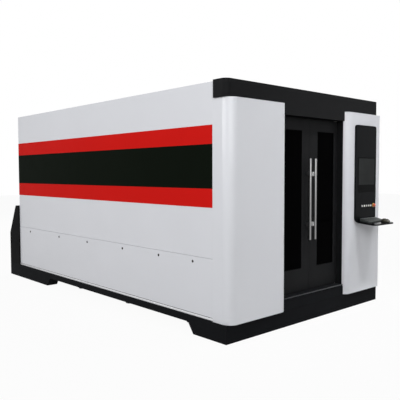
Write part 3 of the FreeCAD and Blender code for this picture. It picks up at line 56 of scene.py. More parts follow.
# ---------------------------------------------------------------- camera, fitted to the photograph
CAMERA_PLACE = Vector((-4.468, -5.3525, 1.4944))
CAMERA_YAW = math.radians(42.179)  # from +Y towards +X
CAMERA_PITCH = math.radians(2.93)  # downwards
CAMERA_ROLL = math.radians(0.171)
FOCAL_PIXELS = 534.37
PHOTO_PIXELS = 400
SENSOR_MM = 36.0


def make_camera():
    forward = Vector(
        (
            math.sin(CAMERA_YAW) * math.cos(CAMERA_PITCH),
            math.cos(CAMERA_YAW) * math.cos(CAMERA_PITCH),
            -math.sin(CAMERA_PITCH),
        )
    )
    level = Vector((math.cos(CAMERA_YAW), -math.sin(CAMERA_YAW), 0))
    down = forward.cross(level)
    right = level * math.cos(CAMERA_ROLL) + down * math.sin(CAMERA_ROLL)
    down = -level * math.sin(CAMERA_ROLL) + down * math.cos(CAMERA_ROLL)
    data = bpy.data.cameras.new("photo_camera")
    data.sensor_width = SENSOR_MM
    data.lens = FOCAL_PIXELS / PHOTO_PIXELS * SENSOR_MM
    camera = bpy.data.objects.new("photo_camera", data)
    turn = Matrix((right, -down, -forward)).transposed()
    camera.matrix_world = Matrix.Translation(CAMERA_PLACE) @ turn.to_4x4()
    bpy.context.scene.collection.objects.link(camera)
    bpy.context.scene.camera = camera


# ---------------------------------------------------------------- node helpers
NOISE_SPAN = (0.3, 0.7)  # the part of 0 to 1 that a noise fills
SPANGLE_SPAN = (0.2, 0.8)  # and the one that the zinc's cells fill


def new_material(name):
    material = bpy.data.materials.new(name)
    material.use_nodes = True
    tree = material.node_tree
    tree.nodes.clear()
    return material, tree


def set_input(tree, socket, value):
    """A link where the value is another node's socket, and else the value itself."""
    if isinstance(value, bpy.types.NodeSocket):
        tree.links.new(value, socket)
    else:
        socket.default_value = value


def add_node(tree, kind, **inputs):
    node = tree.nodes.new(kind)
    for key, value in inputs.items():
        set_input(tree, node.inputs[key.replace("_", " ")], value)
    return node


def add_math(tree, operation, one, two):
    node = add_node(tree, "ShaderNodeMath")
    node.operation = operation
    set_input(tree, node.inputs[0], one)
    set_input(tree, node.inputs[1], two)
    return node.outputs[0]


def mix_shaders(tree, factor, one, two):
    node = add_node(tree, "ShaderNodeMixShader", Fac=factor)
    set_input(tree, node.inputs[1], one.outputs[0])
    set_input(tree, node.inputs[2], two.outputs[0])
    return node


def ramp(tree, factor, stops):
    """A colour that follows the factor through the stops, each a place and a colour."""
    node = add_node(tree, "ShaderNodeValToRGB", Fac=factor)
    elements = node.color_ramp.elements
    while len(elements) < len(stops):
        elements.new(0.5)
    for element, (place, colour) in zip(elements, stops):
        element.position = place
        element.color = (*colour, 1)
    return node.outputs["Color"]


def between(tree, factor, low, high, span=NOISE_SPAN):
    """From one colour to the other, over the span of the factor."""
    return ramp(tree, factor, tuple(zip(span, (low, high))))


def grey(value):
    return (value, value, value)


def scaled(colour, factor):
    return tuple(channel * factor for channel in colour)


def varied(tree, noise, colour, share):
    """The colour, darker and lighter by a share of itself."""
    return between(tree, noise, scaled(colour, 1 - share), scaled(colour, 1 + share))


def object_place(tree):
    return add_node(tree, "ShaderNodeTexCoord").outputs["Object"]


def place_noise(tree, scale, detail=2.0, roughness=0.5, stretch=(1, 1, 1)):
    """Noise fixed to the object's own metres, so it is the same scale on every piece."""
    place = object_place(tree)
    if stretch != (1, 1, 1):
        place = add_node(tree, "ShaderNodeMapping", Vector=place, Scale=stretch).outputs["Vector"]
    noise = add_node(
        tree, "ShaderNodeTexNoise", Vector=place, Scale=scale, Detail=detail, Roughness=roughness
    )
    return noise.outputs["Fac"]


def bumped(tree, height, distance):
    bump = add_node(tree, "ShaderNodeBump", Height=height, Distance=distance, Strength=1.0)
    return bump.outputs["Normal"]


def finish_shader(tree, shader):
    add_node(tree, "ShaderNodeOutputMaterial", Surface=shader.outputs[0])


def principled(material, **inputs):
    tree = material.node_tree
    finish_shader(tree, add_node(tree, "ShaderNodeBsdfPrincipled", **inputs))
    return material


# ---------------------------------------------------------------- materials
PAINT_GLOSS = (-0.04, 0.04)  # from the table's roughness to the least and the most
METAL_GLOSS = (-0.07, 0.09)
PLASTIC_VARIATION = 0.05
PLASTIC_GRAIN = 0.00003
COAT_ROUGHNESS = 0.08
GLASS_VARIATION = 0.2
GLASS_WAVE = 0.0004
SPANGLE_COLOURS = ((0.42, 0.43, 0.44), (0.56, 0.57, 0.58))
SPANGLE_GLOSS = (0.36, 0.52)
SLAT_GLOSS = (0.42, 0.72)
SLAT_TONES = (
    # how scorched, and the colour there, from clean steel to black scale
    (0.0, (0.30, 0.29, 0.28)),
    (0.28, (0.24, 0.20, 0.17)),
    (0.42, (0.13, 0.085, 0.06)),
    (0.7, (0.05, 0.04, 0.038)),
)


def paint(name, colour, roughness, variation, grain, grain_scale, specular):
    """Sprayed and baked paint, or film: fine orange peel, a faint drift of tone and of gloss."""
    material, tree = new_material(name)
    gloss = [grey(roughness + more) for more in PAINT_GLOSS]
    return principled(
        material,
        Base_Color=varied(tree, place_noise(tree, scale=1.7, detail=3.0), colour, variation),
        Roughness=between(tree, place_noise(tree, scale=9.0, detail=4.0), *gloss),
        Normal=bumped(tree, place_noise(tree, grain_scale), grain),
        Specular_IOR_Level=specular,
    )


def worked_metal(name, colour, roughness, stretch, scale, variation, depth, metallic):
    """Bare metal; the noise is stretched along the way it was brushed, ground or rolled."""
    material, tree = new_material(name)
    lay = place_noise(tree, scale, detail=5.0, roughness=0.6, stretch=stretch)
    return principled(
        material,
        Base_Color=varied(tree, lay, colour, variation),
        Metallic=metallic,
        Roughness=between(tree, lay, *[grey(roughness + more) for more in METAL_GLOSS]),
        Normal=bumped(tree, lay, depth),
    )


def plastic(name, colour, roughness, coat):
    """Moulded plastic with a fine texture, and a clear coat on the glossy kinds."""
    material, tree = new_material(name)
    return principled(
        material,
        Base_Color=varied(tree, place_noise(tree, scale=30.0), colour, PLASTIC_VARIATION),
        Roughness=roughness,
        Normal=bumped(tree, place_noise(tree, scale=1500.0), PLASTIC_GRAIN),
        Coat_Weight=coat,
        Coat_Roughness=COAT_ROUGHNESS,
    )


def dark_glass(name, colour, roughness, specular):
    """Glass so dark that almost nothing shows through; it lives by its reflection."""
    material, tree = new_material(name)
    return principled(
        material,
        Base_Color=varied(tree, place_noise(tree, scale=3.0), colour, GLASS_VARIATION),
        Roughness=roughness,
        Specular_IOR_Level=specular,
        Normal=bumped(tree, place_noise(tree, scale=1.4), GLASS_WAVE),
    )


def burnt_slats(name, bottom, top):
    """Mill-finish steel that is scorched and rusty towards the tips that carry the sheet."""
    material, tree = new_material(name)
    height = add_node(tree, "ShaderNodeSeparateXYZ", Vector=object_place(tree)).outputs["Z"]
    reach = add_node(
        tree, "ShaderNodeMapRange",
        Value=height, From_Min=bottom, From_Max=top, To_Min=0.0, To_Max=1.0,
    )
    blotch = place_noise(tree, scale=14.0, detail=6.0, roughness=0.65)
    return principled(
        material,
        Base_Color=ramp(tree, add_math(tree, "MULTIPLY", reach.outputs[0], blotch), SLAT_TONES),
        Metallic=0.8,
        Roughness=between(tree, blotch, *map(grey, SLAT_GLOSS)),
        Normal=bumped(tree, place_noise(tree, scale=220.0, detail=5.0), 0.00012),
    )


def galvanised_sheet(name):
    """Zinc spangle: flat cells of slightly different tone."""
    material, tree = new_material(name)
    cells = add_node(tree, "ShaderNodeTexVoronoi", Vector=object_place(tree), Scale=45.0)
    level = add_node(tree, "ShaderNodeRGBToBW", Color=cells.outputs["Color"]).outputs[0]
    return principled(
        material,
        Base_Color=between(tree, level, *SPANGLE_COLOURS, SPANGLE_SPAN),
        Metallic=0.9,
        Roughness=between(tree, level, *map(grey, SPANGLE_GLOSS), SPANGLE_SPAN),
        Normal=bumped(tree, place_noise(tree, scale=400.0), 0.00003),
    )


PAINTS = {
    # name: colour, roughness, variation, depth and scale of the grain, specular level
    "white_paint": ((0.628, 0.638, 0.672), 0.36, 0.012, 0.00004, 700.0, 0.5),
    # a lighter copy of white_paint for the covers' bottom lips: painted highlight
    "hem_white": ((0.76, 0.765, 0.79), 0.3, 0.01, 0.00004, 700.0, 0.5),
    "red_film": ((0.555, 0.0098, 0.0076), 0.4, 0.02, 0.00002, 700.0, 0.012),
    "black_film": ((0.0040, 0.0060, 0.0037), 0.45, 0.05, 0.00002, 700.0, 0.006),
    "black_paint": ((0.0102, 0.0105, 0.0112), 0.5, 0.06, 0.00008, 500.0, 0.03),
    "base_black": ((0.0078, 0.0083, 0.0094), 0.55, 0.08, 0.0001, 420.0, 0.012),
    "console_black": ((0.0042, 0.0048, 0.0056), 0.12, 0.08, 0.00001, 700.0, 0.03),
    "soft_black": ((0.0042, 0.0042, 0.0046), 0.6, 0.1, 0.00005, 900.0, 0.02),
    "screw_black": ((0.022, 0.021, 0.020), 0.45, 0.15, 0.00004, 500.0, 0.15),
    # a lighter grey that paints the highlight along the sill's front edge
    "edge_black": ((0.045, 0.047, 0.05), 0.45, 0.15, 0.00004, 500.0, 0.2),
    "gloss_black": ((0.0022, 0.0026, 0.0029), 0.15, 0.05, 0.00001, 300.0, 0.02),
    "frame_paint": ((0.05, 0.053, 0.056), 0.55, 0.08, 0.00008, 400.0, 0.3),
    "bed_paint": ((0.24, 0.26, 0.27), 0.5, 0.08, 0.00015, 260.0, 0.5),
    "cabinet_paint": ((0.45, 0.46, 0.46), 0.5, 0.03, 0.0001, 600.0, 0.5),
}
METALS = {
    # name: colour, roughness, stretch and scale of the scratches, variation, depth, metallic
    "steel": ((0.28, 0.28, 0.28), 0.4, (1, 1, 0.02), 500.0, 0.12, 0.00003, 1.0),
    # the next two are copies of one satin steel for the handle posts: the light one is a painted
    # highlight, the dark one painted shade
    "bright_posts": ((0.86, 0.86, 0.86), 0.55, (1, 1, 1), 300.0, 0.05, 0.00003, 0.1),
    "dark_posts": ((0.035, 0.035, 0.036), 0.6, (1, 1, 1), 300.0, 0.1, 0.00003, 0.5),
    "ground_steel": ((0.58, 0.58, 0.57), 0.24, (1, 0.05, 1), 400.0, 0.08, 0.00003, 1.0),
    "aluminium": ((0.62, 0.63, 0.64), 0.36, (0.08, 1, 1), 300.0, 0.06, 0.00003, 1.0),
    "dark_screw": ((0.075, 0.073, 0.07), 0.42, (1, 1, 1), 300.0, 0.2, 0.00003, 1.0),
    "feet_iron": ((0.06, 0.06, 0.062), 0.6, (1, 1, 1), 120.0, 0.25, 0.0002, 1.0),
    "copper_alloy": ((0.72, 0.42, 0.24), 0.26, (1, 1, 1), 600.0, 0.06, 0.00003, 1.0),
}
PLASTICS = {
    # name: colour, roughness, weight of the coat
    "keyboard_plastic": ((0.055, 0.062, 0.06), 0.5, 0.0),
    "key_caps": ((0.017, 0.022, 0.021), 0.5, 0.0),
    "black_plastic": ((0.011, 0.011, 0.012), 0.32, 0.0),
    "mouse_plastic": ((0.060, 0.057, 0.042), 0.36, 0.0),
    "collar_yellow": ((0.62, 0.36, 0.05), 0.35, 0.3),
    "button_white": ((0.74, 0.74, 0.72), 0.28, 0.4),
    "button_red": ((0.66, 0.075, 0.022), 0.3, 0.5),
}
GLASSES = {
    # name: colour, roughness, specular level
    "dark_glass": ((0.0005, 0.0005, 0.0006), 0.12, 0.003),
    "screen_glass": ((0.0175, 0.0190, 0.0192), 0.2, 0.03),
}
MATERIALS = {"galvanised": galvanised_sheet("galvanised")}
for make, table in (
    (paint, PAINTS), (worked_metal, METALS), (plastic, PLASTICS), (dark_glass, GLASSES)
):
    MATERIALS.update({name: make(name, *values) for name, values in table.items()})

NODE_MATERIALS = {
    # nodes whose place on the machine gives their slot's finish a tone of its own
    "front_plinth": "base_black",
    "base_frame": "base_black",
    "dock_cheeks": "soft_black",
    "door_sill": "base_black",
    "operator_console": "console_black",
}
ROUNDED_EDGES = {
    # node: radius of the fold or broken edge that catches the light
    "front_left_column": 0.005,
    "console_pillar": 0.005,
    "front_cap": 0.004,
    "front_plinth": 0.004,
    "dock_cheeks": 0.004,
    "door_sill": 0.007,
    "operator_console": 0.0025,
    "left_door_leaf": 0.003,
    "right_door_leaf": 0.003,
    "left_wall": 0.003,
    "right_wall": 0.003,
    "lower_covers": 0.003,
    "roof_panels": 0.002,
    "rear_wall": 0.002,
    "rear_lift_door": 0.004,
    "lift_door_guides": 0.0015,
    "electrical_cabinet": 0.003,
    "laser_source": 0.003,
    "machine_bed": 0.003,
    "gantry_beam": 0.003,
    "gantry_motors": 0.002,
    "head_carriage": 0.002,
    "head_slide": 0.001,
    "cutting_head": 0.001,
    "scrap_trays": 0.001,
}
WELD_DISTANCE = 0.00001
EDGE_ANGLE = math.radians(35)
EDGE_SEGMENTS = 3


def dress_nodes():
    """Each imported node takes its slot's material; folded and machined ones get rounded edges."""
    slots = {row["node"]: row["material_slot"] for row in frame["record"]["subparts"]}
    slat_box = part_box("pallet_slats")
    MATERIALS["mild_steel"] = burnt_slats("mild_steel", slat_box[0].z, slat_box[1].z)
    for name, node in NODES.items():
        node.data.materials.clear()
        node.data.materials.append(MATERIALS[NODE_MATERIALS.get(name, slots[name])])
        if name in ROUNDED_EDGES:
            weld = node.modifiers.new("weld", "WELD")
            weld.merge_threshold = WELD_DISTANCE
            edge = node.modifiers.new("edge", "BEVEL")
            edge.limit_method = "ANGLE"
            edge.angle_limit = EDGE_ANGLE
            edge.width = ROUNDED_EDGES[name]
            edge.segments = EDGE_SEGMENTS


# ---------------------------------------------------------------- mesh helpers
CORNER_STEPS = 4
EDGE_SHOULDER = 0.3  # where a rounded edge is halfway, as a share of it
SCREW_PROFILE = (
    # shares of the radius and of the height, ending in the driving recess
    (1.0, 0.0), (1.0, 0.3), (0.86, 0.78), (0.62, 1.0), (0.42, 1.0), (0.38, 0.4)
)


def solids_of(node):
    """The boxes, as (low, high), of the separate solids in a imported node."""
    mesh = bmesh.new()
    mesh.from_mesh(NODES[node].data)
    bmesh.ops.remove_doubles(mesh, verts=mesh.verts, dist=WELD_DISTANCE)
    seen, boxes = set(), []
    for vertex in mesh.verts:
        if vertex in seen:
            continue
        seen.add(vertex)
        group, waiting = [], [vertex]
        while waiting:
            here = waiting.pop()
            group.append(here.co)
            for edge in here.link_edges:
                other = edge.other_vert(here)
                if other not in seen:
                    seen.add(other)
                    waiting.append(other)
        low = Vector([min(point[i] for point in group) for i in range(3)])
        high = Vector([max(point[i] for point in group) for i in range(3)])
        boxes.append((low, high))
    mesh.free()
    return boxes


def middle(low, high):
    return (low + high) / 2


def spread(start, end, pitch):
    """Even places from start to end, about a pitch apart."""
    count = max(1, round((end - start) / pitch))
    return [start + (end - start) * i / count for i in range(count + 1)]


def facing(place, outward, up=(0, 0, 1)):
    """A frame at a place: x to the right, y up and z outwards, as seen from outside."""
    outward, up = Vector(outward).normalized(), Vector(up).normalized()
    turn = Matrix((up.cross(outward), up, outward)).transposed()
    return Matrix.Translation(Vector(place)) @ turn.to_4x4()


def moved(matrix, x, y, z):
    return matrix @ Matrix.Translation((x, y, z))


def loft(mesh, matrix, loops, ring=False):
    """Quads from loop to loop; the ends are capped, or joined to each other in a ring."""
    rows = [[mesh.verts.new(matrix @ Vector(point)) for point in loop] for loop in loops]
    pairs = list(zip(rows, rows[1:]))
    if ring:
        pairs.append((rows[-1], rows[0]))
    for one, two in pairs:
        for i in range(len(one)):
            j = (i + 1) % len(one)
            mesh.faces.new((one[i], one[j], two[j], two[i]))
    if not ring:
        mesh.faces.new(rows[0])
        mesh.faces.new(rows[-1])


def circle(radius, height, count):
    step = 2 * math.pi / count
    return [
        (radius * math.cos(i * step), radius * math.sin(i * step), height) for i in range(count)
    ]


def turned(mesh, matrix, profile, count=32, ring=False):
    """A turned form: the profile is a list of (radius, height)."""
    loft(mesh, matrix, [circle(radius, height, count) for radius, height in profile], ring)


def rounded_loop(x0, x1, y0, y1, corner, height):
    points = []
    for x, y, start in (
        (x1 - corner, y1 - corner, 0.0),
        (x0 + corner, y1 - corner, 0.5),
        (x0 + corner, y0 + corner, 1.0),
        (x1 - corner, y0 + corner, 1.5),
    ):
        for i in range(CORNER_STEPS + 1):
            angle = math.pi * (start + 0.5 * i / CORNER_STEPS)
            points.append((x + corner * math.cos(angle), y + corner * math.sin(angle), height))
    return points


def plate(mesh, matrix, x0, x1, y0, y1, thickness, corner, edge):
    """A flat piece with round corners and a softened front edge."""
    loops = [rounded_loop(x0, x1, y0, y1, corner, 0.0)]
    shoulder = edge * EDGE_SHOULDER
    for inset, below in ((0.0, edge), (shoulder, shoulder), (edge, 0.0)):
        sides = (x0 + inset, x1 - inset, y0 + inset, y1 - inset)
        loops.append(rounded_loop(*sides, corner, thickness - below))
    loft(mesh, matrix, loops)


def surround(mesh, matrix, outer, inner, thickness, corner, edge):
    """A flat frame round an opening; outer and inner are (x0, x1, y0, y1)."""
    x0, x1, y0, y1 = outer
    u0, u1, v0, v1 = inner
    inner_corner = corner * 0.5
    loops = [
        rounded_loop(x0, x1, y0, y1, corner, 0.0),
        rounded_loop(x0, x1, y0, y1, corner, thickness - edge),
        rounded_loop(x0 + edge, x1 - edge, y0 + edge, y1 - edge, corner, thickness),
        rounded_loop(u0 - edge, u1 + edge, v0 - edge, v1 + edge, inner_corner, thickness),
        rounded_loop(u0, u1, v0, v1, inner_corner, thickness - edge),
        rounded_loop(u0, u1, v0, v1, inner_corner, 0.0),
    ]
    loft(mesh, matrix, loops, ring=True)


def block(mesh, low, high, edge, segments=2, matrix=None):
    """A box with rounded edges, between two corners."""
    low, high = Vector(low), Vector(high)
    size = Matrix.Diagonal((*(high - low), 1.0))
    place = Matrix.Translation((low + high) / 2) @ size
    verts = bmesh.ops.create_cube(mesh, size=1.0, matrix=(matrix or Matrix()) @ place)["verts"]
    edges = list({e for v in verts for e in v.link_edges})
    bmesh.ops.bevel(mesh, geom=edges, offset=edge, segments=segments, profile=0.5, affect="EDGES")


def screw(mesh, matrix, radius, height, count=16):
    """A button-head screw with a driving recess."""
    turned(mesh, matrix, [(radius * r, height * h) for r, h in SCREW_PROFILE], count)


def make_piece(name, mesh, body, slot, replaces=(), angle=32, material=None):
    bmesh.ops.recalc_face_normals(mesh, faces=mesh.faces)
    for face in mesh.faces:
        face.smooth = True
    data = bpy.data.meshes.new(name)
    mesh.to_mesh(data)
    mesh.free()
    data.set_sharp_from_angle(angle=math.radians(angle))
    data.materials.append(MATERIALS[material or slot])
    piece = bpy.data.objects.new(name, data)
    bpy.context.scene.collection.objects.link(piece)
    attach(piece, body)
    if replaces:
        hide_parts(*replaces)


# ---------------------------------------------------------------- cabin skin
SCREWS = {
    # where: radius and height of the head
    "panel": (0.006, 0.0025),
    "exhaust": (0.0055, 0.003),
    "lift_door": (0.006, 0.0028),
    "gantry": (0.006, 0.0035),
    "carriage": (0.0045, 0.003),
    "head": (0.004, 0.0028),
}


def cover_screws():
    mesh = bmesh.new()
    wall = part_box("lower_covers")[1].x
    for low, high in solids_of("cover_screws"):
        centre = middle(low, high)
        side = math.copysign(1, centre.x)
        radius = (high.z - low.z) / 2
        proud = max(abs(low.x), abs(high.x)) - wall
        face = facing((side * wall, centre.y, centre.z), (side, 0, 0))
        screw(mesh, face, radius, proud, 24)
    make_piece(
        "cover_screw_heads", mesh, "machine", "dark_screw", ["cover_screws"],
        material="screw_black",
    )


HEM_HEIGHT = 0.0205
HEM_PROUD = 0.0015
HEM_EDGE = 0.0006
HEM_END = 0.002  # how far it stops short of the cover's end
# a thin black strip above each hem: a painted shade line where the lip meets the cover
SHADE_LINE_HEIGHT = 0.0048
SHADE_LINE_PROUD = HEM_PROUD * 0.4
SHADE_LINE_EDGE = 0.0002


def cover_hems():
    """The folded lip along the bottom of each lower cover, in a lighter white as a painted
    highlight, with a thin black strip above it as a painted shade line.
    """
    hems, shade_lines = bmesh.new(), bmesh.new()
    for low, high in solids_of("lower_covers"):
        side = math.copysign(1, low.x)
        wall = max(abs(low.x), abs(high.x))
        hem_top = low.z + HEM_HEIGHT
        for mesh, z0, z1, proud, edge in (
            (hems, low.z, hem_top, HEM_PROUD, HEM_EDGE),
            (shade_lines, hem_top, hem_top + SHADE_LINE_HEIGHT, SHADE_LINE_PROUD, SHADE_LINE_EDGE),
        ):
            x0, x1 = sorted((side * wall, side * (wall + proud)))
            block(mesh, (x0, low.y + HEM_END, z0), (x1, high.y - HEM_END, z1), edge)
    make_piece("cover_hems", hems, "machine", "white_paint", material="hem_white")
    make_piece("cover_shade_lines", shade_lines, "machine", "black_plastic")


PANEL_SCREW_INSET = 0.015
PANEL_SCREW_PITCH = 0.33


def panel_screws():
    """Small screws round the roof sheets and up the edges of the rear wall."""
    mesh = bmesh.new()
    cap_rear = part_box("front_cap")[1].y
    for low, high in solids_of("roof_panels"):
        y0, y1 = max(low.y, cap_rear) + PANEL_SCREW_INSET, high.y - PANEL_SCREW_INSET
        x1 = high.x - PANEL_SCREW_INSET
        places = [(x, y) for y in spread(y0, y1, PANEL_SCREW_PITCH) for x in (-x1, x1)]
        places += [(x, y) for x in spread(-x1, x1, PANEL_SCREW_PITCH)[1:-1] for y in (y0, y1)]
        for x, y in places:
            screw(mesh, facing((x, y, high.z), UP, REAR), *SCREWS["panel"])
    low, high = max(solids_of("rear_wall"), key=lambda box: box[1].z - box[0].z)
    x1, z1 = high.x - PANEL_SCREW_INSET, high.z - PANEL_SCREW_INSET
    z0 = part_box("dock_cheeks")[1].z + PANEL_SCREW_INSET
    places = [(x, z) for z in spread(z0, z1, PANEL_SCREW_PITCH) for x in (-x1, x1)]
    places += [(x, z1) for x in spread(-x1, x1, PANEL_SCREW_PITCH)[1:-1]]
    for x, z in places:
        screw(mesh, facing((x, high.y, z), REAR), *SCREWS["panel"])
    make_piece("panel_screws", mesh, "machine", "dark_screw")


EXHAUST_BORE = 0.097
EXHAUST_SPIGOT = 0.1
EXHAUST_SHEET = 0.004
EXHAUST_BREAK = 0.001  # the flange's broken edge, and halfway round the root
EXHAUST_ROOT = 0.004
EXHAUST_RIM = 0.0015
EXHAUST_RIM_IN = 0.0008
EXHAUST_SCREW_COUNT = 8


def exhaust():
    """The spigot's collar, spun from sheet, and the screws of its flange."""
    low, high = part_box("exhaust_collar")
    centre = middle(low, high)
    length, flange = high.y - low.y, (high.x - low.x) / 2
    matrix = facing((centre.x, low.y, centre.z), REAR)
    mesh = bmesh.new()
    profile = [
        (EXHAUST_BORE, 0.0),
        (flange, 0.0),
        (flange, EXHAUST_SHEET - EXHAUST_BREAK),
        (flange - EXHAUST_BREAK, EXHAUST_SHEET),
        (EXHAUST_SPIGOT + EXHAUST_ROOT, EXHAUST_SHEET),
        (EXHAUST_SPIGOT + EXHAUST_BREAK, EXHAUST_SHEET + EXHAUST_BREAK),
        (EXHAUST_SPIGOT, EXHAUST_SHEET + EXHAUST_ROOT),
        (EXHAUST_SPIGOT, length - EXHAUST_RIM),
        (EXHAUST_SPIGOT - EXHAUST_RIM_IN, length),
        (EXHAUST_BORE + EXHAUST_RIM_IN, length),
        (EXHAUST_BORE, length - EXHAUST_RIM),
    ]
    turned(mesh, matrix, profile, 96, ring=True)
    make_piece("exhaust_collar_spun", mesh, "machine", "galvanised", ["exhaust_collar"])
    mesh = bmesh.new()
    ring = (flange + EXHAUST_SPIGOT) / 2
    for i in range(EXHAUST_SCREW_COUNT):
        angle = math.pi * (2 * i + 1) / EXHAUST_SCREW_COUNT
        x, z = centre.x + ring * math.cos(angle), centre.z + ring * math.sin(angle)
        screw(mesh, facing((x, low.y + EXHAUST_SHEET, z), REAR), *SCREWS["exhaust"])
    make_piece("exhaust_screws", mesh, "machine", "dark_screw")


CYLINDER_CAP = 0.026
CYLINDER_BREAK = 0.001
CYLINDER_STEP = 0.0015  # the slope from cap to barrel, along the cylinder
CYLINDER_WAIST = 0.0025  # how much thinner the barrel is than its caps
CYLINDER_FOOT = 0.009  # radius of the flat at the lower end, and at the upper one
CYLINDER_MOUTH = 0.004
BRACKET_END = 0.05  # from the cylinder's end
BRACKET_HALF = (0.012, 0.015)  # half its width and half its height
BRACKET_EDGE = 0.0015
AIR_FITTING = (
    (0.0055, 0), (0.0055, 0.007), (0.0065, 0.0075), (0.0065, 0.014), (0.004, 0.0155)
)


def lift_cylinders():
    """Smooth barrels with end caps, wall brackets and air fittings, for the rear door."""
    barrels, fittings = bmesh.new(), bmesh.new()
    rods = sorted(solids_of("lift_rods"), key=lambda box: box[0].x)
    cylinders = sorted(solids_of("lift_cylinders"), key=lambda box: box[0].x)
    for (low, high), rod in zip(cylinders, rods):
        centre = middle(*rod)
        length, radius = high.z - low.z, (high.x - low.x) / 2
        matrix = facing((centre.x, centre.y, low.z), UP, REAR)
        profile = [
            (CYLINDER_FOOT, 0.0),
            (radius - CYLINDER_BREAK, 0.0),
            (radius, CYLINDER_BREAK),
            (radius, CYLINDER_CAP),
            (radius - CYLINDER_WAIST, CYLINDER_CAP + CYLINDER_STEP),
            (radius - CYLINDER_WAIST, length - CYLINDER_CAP - CYLINDER_STEP),
            (radius, length - CYLINDER_CAP),
            (radius, length - CYLINDER_BREAK),
            (radius - CYLINDER_BREAK, length),
            (CYLINDER_MOUTH, length),
        ]
        turned(barrels, matrix, profile, 40)
        half_width, half_height = BRACKET_HALF
        for z in (low.z + BRACKET_END, high.z - BRACKET_END):
            block(
                barrels,
                (centre.x - half_width, low.y, z - half_height),
                (centre.x + half_width, centre.y, z + half_height),
                BRACKET_EDGE,
            )
        side = -math.copysign(1, centre.x)
        for z in (low.z + CYLINDER_CAP / 2, high.z - CYLINDER_CAP / 2):
            place = (centre.x + side * (radius - CYLINDER_BREAK), centre.y, z)
            turned(fittings, facing(place, (side, 0, 0)), AIR_FITTING, 20)
    make_piece("lift_cylinder_barrels", barrels, "machine", "aluminium", ["lift_cylinders"])
    make_piece("air_fittings", fittings, "machine", "ground_steel")


DOOR_SEAL_END = 0.01
DOOR_SEAL_FACES = (0.009, 0.021)  # from the door's inner side
DOOR_SEAL_DROP = 0.008
DOOR_SEAL_LAP = 0.0005
DOOR_SEAL_EDGE = 0.002
DOOR_SCREW_SIDE = 0.045
DOOR_SCREW_PITCH = 0.28
DOOR_SCREW_END = 0.02


def lift_door_trim():
    """A rubber strip along the foot of the rear door, and the screws of its rods and edges."""
    low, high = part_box("rear_lift_door")
    mesh = bmesh.new()
    near, far = DOOR_SEAL_FACES
    block(
        mesh,
        (low.x + DOOR_SEAL_END, low.y + near, low.z - DOOR_SEAL_DROP),
        (high.x - DOOR_SEAL_END, low.y + far, low.z + DOOR_SEAL_LAP),
        DOOR_SEAL_EDGE,
    )
    make_piece("lift_door_seal", mesh, "lift_door", "black_plastic")
    mesh = bmesh.new()
    for x in spread(low.x + DOOR_SCREW_SIDE, high.x - DOOR_SCREW_SIDE, DOOR_SCREW_PITCH):
        for z in (low.z + DOOR_SCREW_END, high.z - DOOR_SCREW_END):
            screw(mesh, facing((x, high.y, z), REAR), *SCREWS["lift_door"])
    make_piece("lift_door_screws", mesh, "lift_door", "dark_screw")


# ---------------------------------------------------------------- doors
HANDLE_END = 0.0018
HANDLE_SHOULDER = HANDLE_END * EDGE_SHOULDER
POST_EDGE = 0.0015
# the posts of both handles are alike; the left ones take the dark copy as painted shade, the right
# ones the light copy as painted highlight
HANDLE_POSTS = {"left": "dark_posts", "right": "bright_posts"}


def door_handle(side):
    """A round bar with rounded ends, and its posts on the leaf."""
    node = f"{side}_door_handle"
    leaf_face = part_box(f"{side}_door_leaf")[0].y
    bars = sorted(solids_of(node), key=lambda box: box[0].z - box[1].z)
    low, high = bars[0]
    centre, radius, length = middle(low, high), (high.x - low.x) / 2, high.z - low.z
    mesh = bmesh.new()
    profile = [
        (radius - HANDLE_END, 0.0),
        (radius - HANDLE_SHOULDER, HANDLE_SHOULDER),
        (radius, HANDLE_END),
        (radius, length - HANDLE_END),
        (radius - HANDLE_SHOULDER, length - HANDLE_SHOULDER),
        (radius - HANDLE_END, length),
    ]
    turned(mesh, facing((centre.x, centre.y, low.z), UP, REAR), profile, 48)
    make_piece(f"{side}_handle_bar", mesh, f"{side}_door", "steel", [node])
    mesh = bmesh.new()
    for post_low, post_high in bars[1:]:
        start = (post_low.x, centre.y, post_low.z)
        end = (post_high.x, leaf_face, post_high.z)
        block(mesh, start, end, POST_EDGE, 3)
    make_piece(
        f"{side}_handle_posts", mesh, f"{side}_door", "steel", material=HANDLE_POSTS[side]
    )


SEAL_WIDTH = 0.006
SEAL_PROUD = 0.0012
SEAL_CORNER = 0.001
SEAL_EDGE = 0.0012


def window_seal(side):
    """The black rubber profile that holds the pane in the leaf."""
    low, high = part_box(f"{side}_door_window")
    leaf_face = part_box(f"{side}_door_leaf")[0].y
    mesh = bmesh.new()
    outer = (low.x, high.x, low.z, high.z)
    inner = (low.x + SEAL_WIDTH, high.x - SEAL_WIDTH, low.z + SEAL_WIDTH, high.z - SEAL_WIDTH)
    thickness = low.y - leaf_face + SEAL_PROUD
    face = facing((0, low.y, 0), FRONT)
    surround(mesh, face, outer, inner, thickness, SEAL_CORNER, SEAL_EDGE)
    make_piece(
        f"{side}_window_seal", mesh, f"{side}_door", "black_plastic", material="soft_black"
    )


# a thin strip on the sill's front top corner, lighter than the sill, as a painted highlight
SILL_HIGHLIGHT_HEIGHT = 0.009
SILL_HIGHLIGHT_DEPTH = 0.006
SILL_HIGHLIGHT_PROUD = 0.0004
SILL_HIGHLIGHT_END = 0.002
SILL_HIGHLIGHT_EDGE = 0.0018


def sill_highlight_strip():
    """A lighter grey strip along the sill's front top corner: a painted highlight where that edge
    catches the light.
    """
    low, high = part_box("door_sill")
    mesh = bmesh.new()
    start = (low.x + SILL_HIGHLIGHT_END, low.y - SILL_HIGHLIGHT_PROUD, high.z - SILL_HIGHLIGHT_HEIGHT)
    end = (high.x - SILL_HIGHLIGHT_END, low.y + SILL_HIGHLIGHT_DEPTH, high.z + SILL_HIGHLIGHT_PROUD)
    block(mesh, start, end, SILL_HIGHLIGHT_EDGE, 3)
    make_piece("sill_highlight_strip", mesh, "machine", "black_paint", material="edge_black")


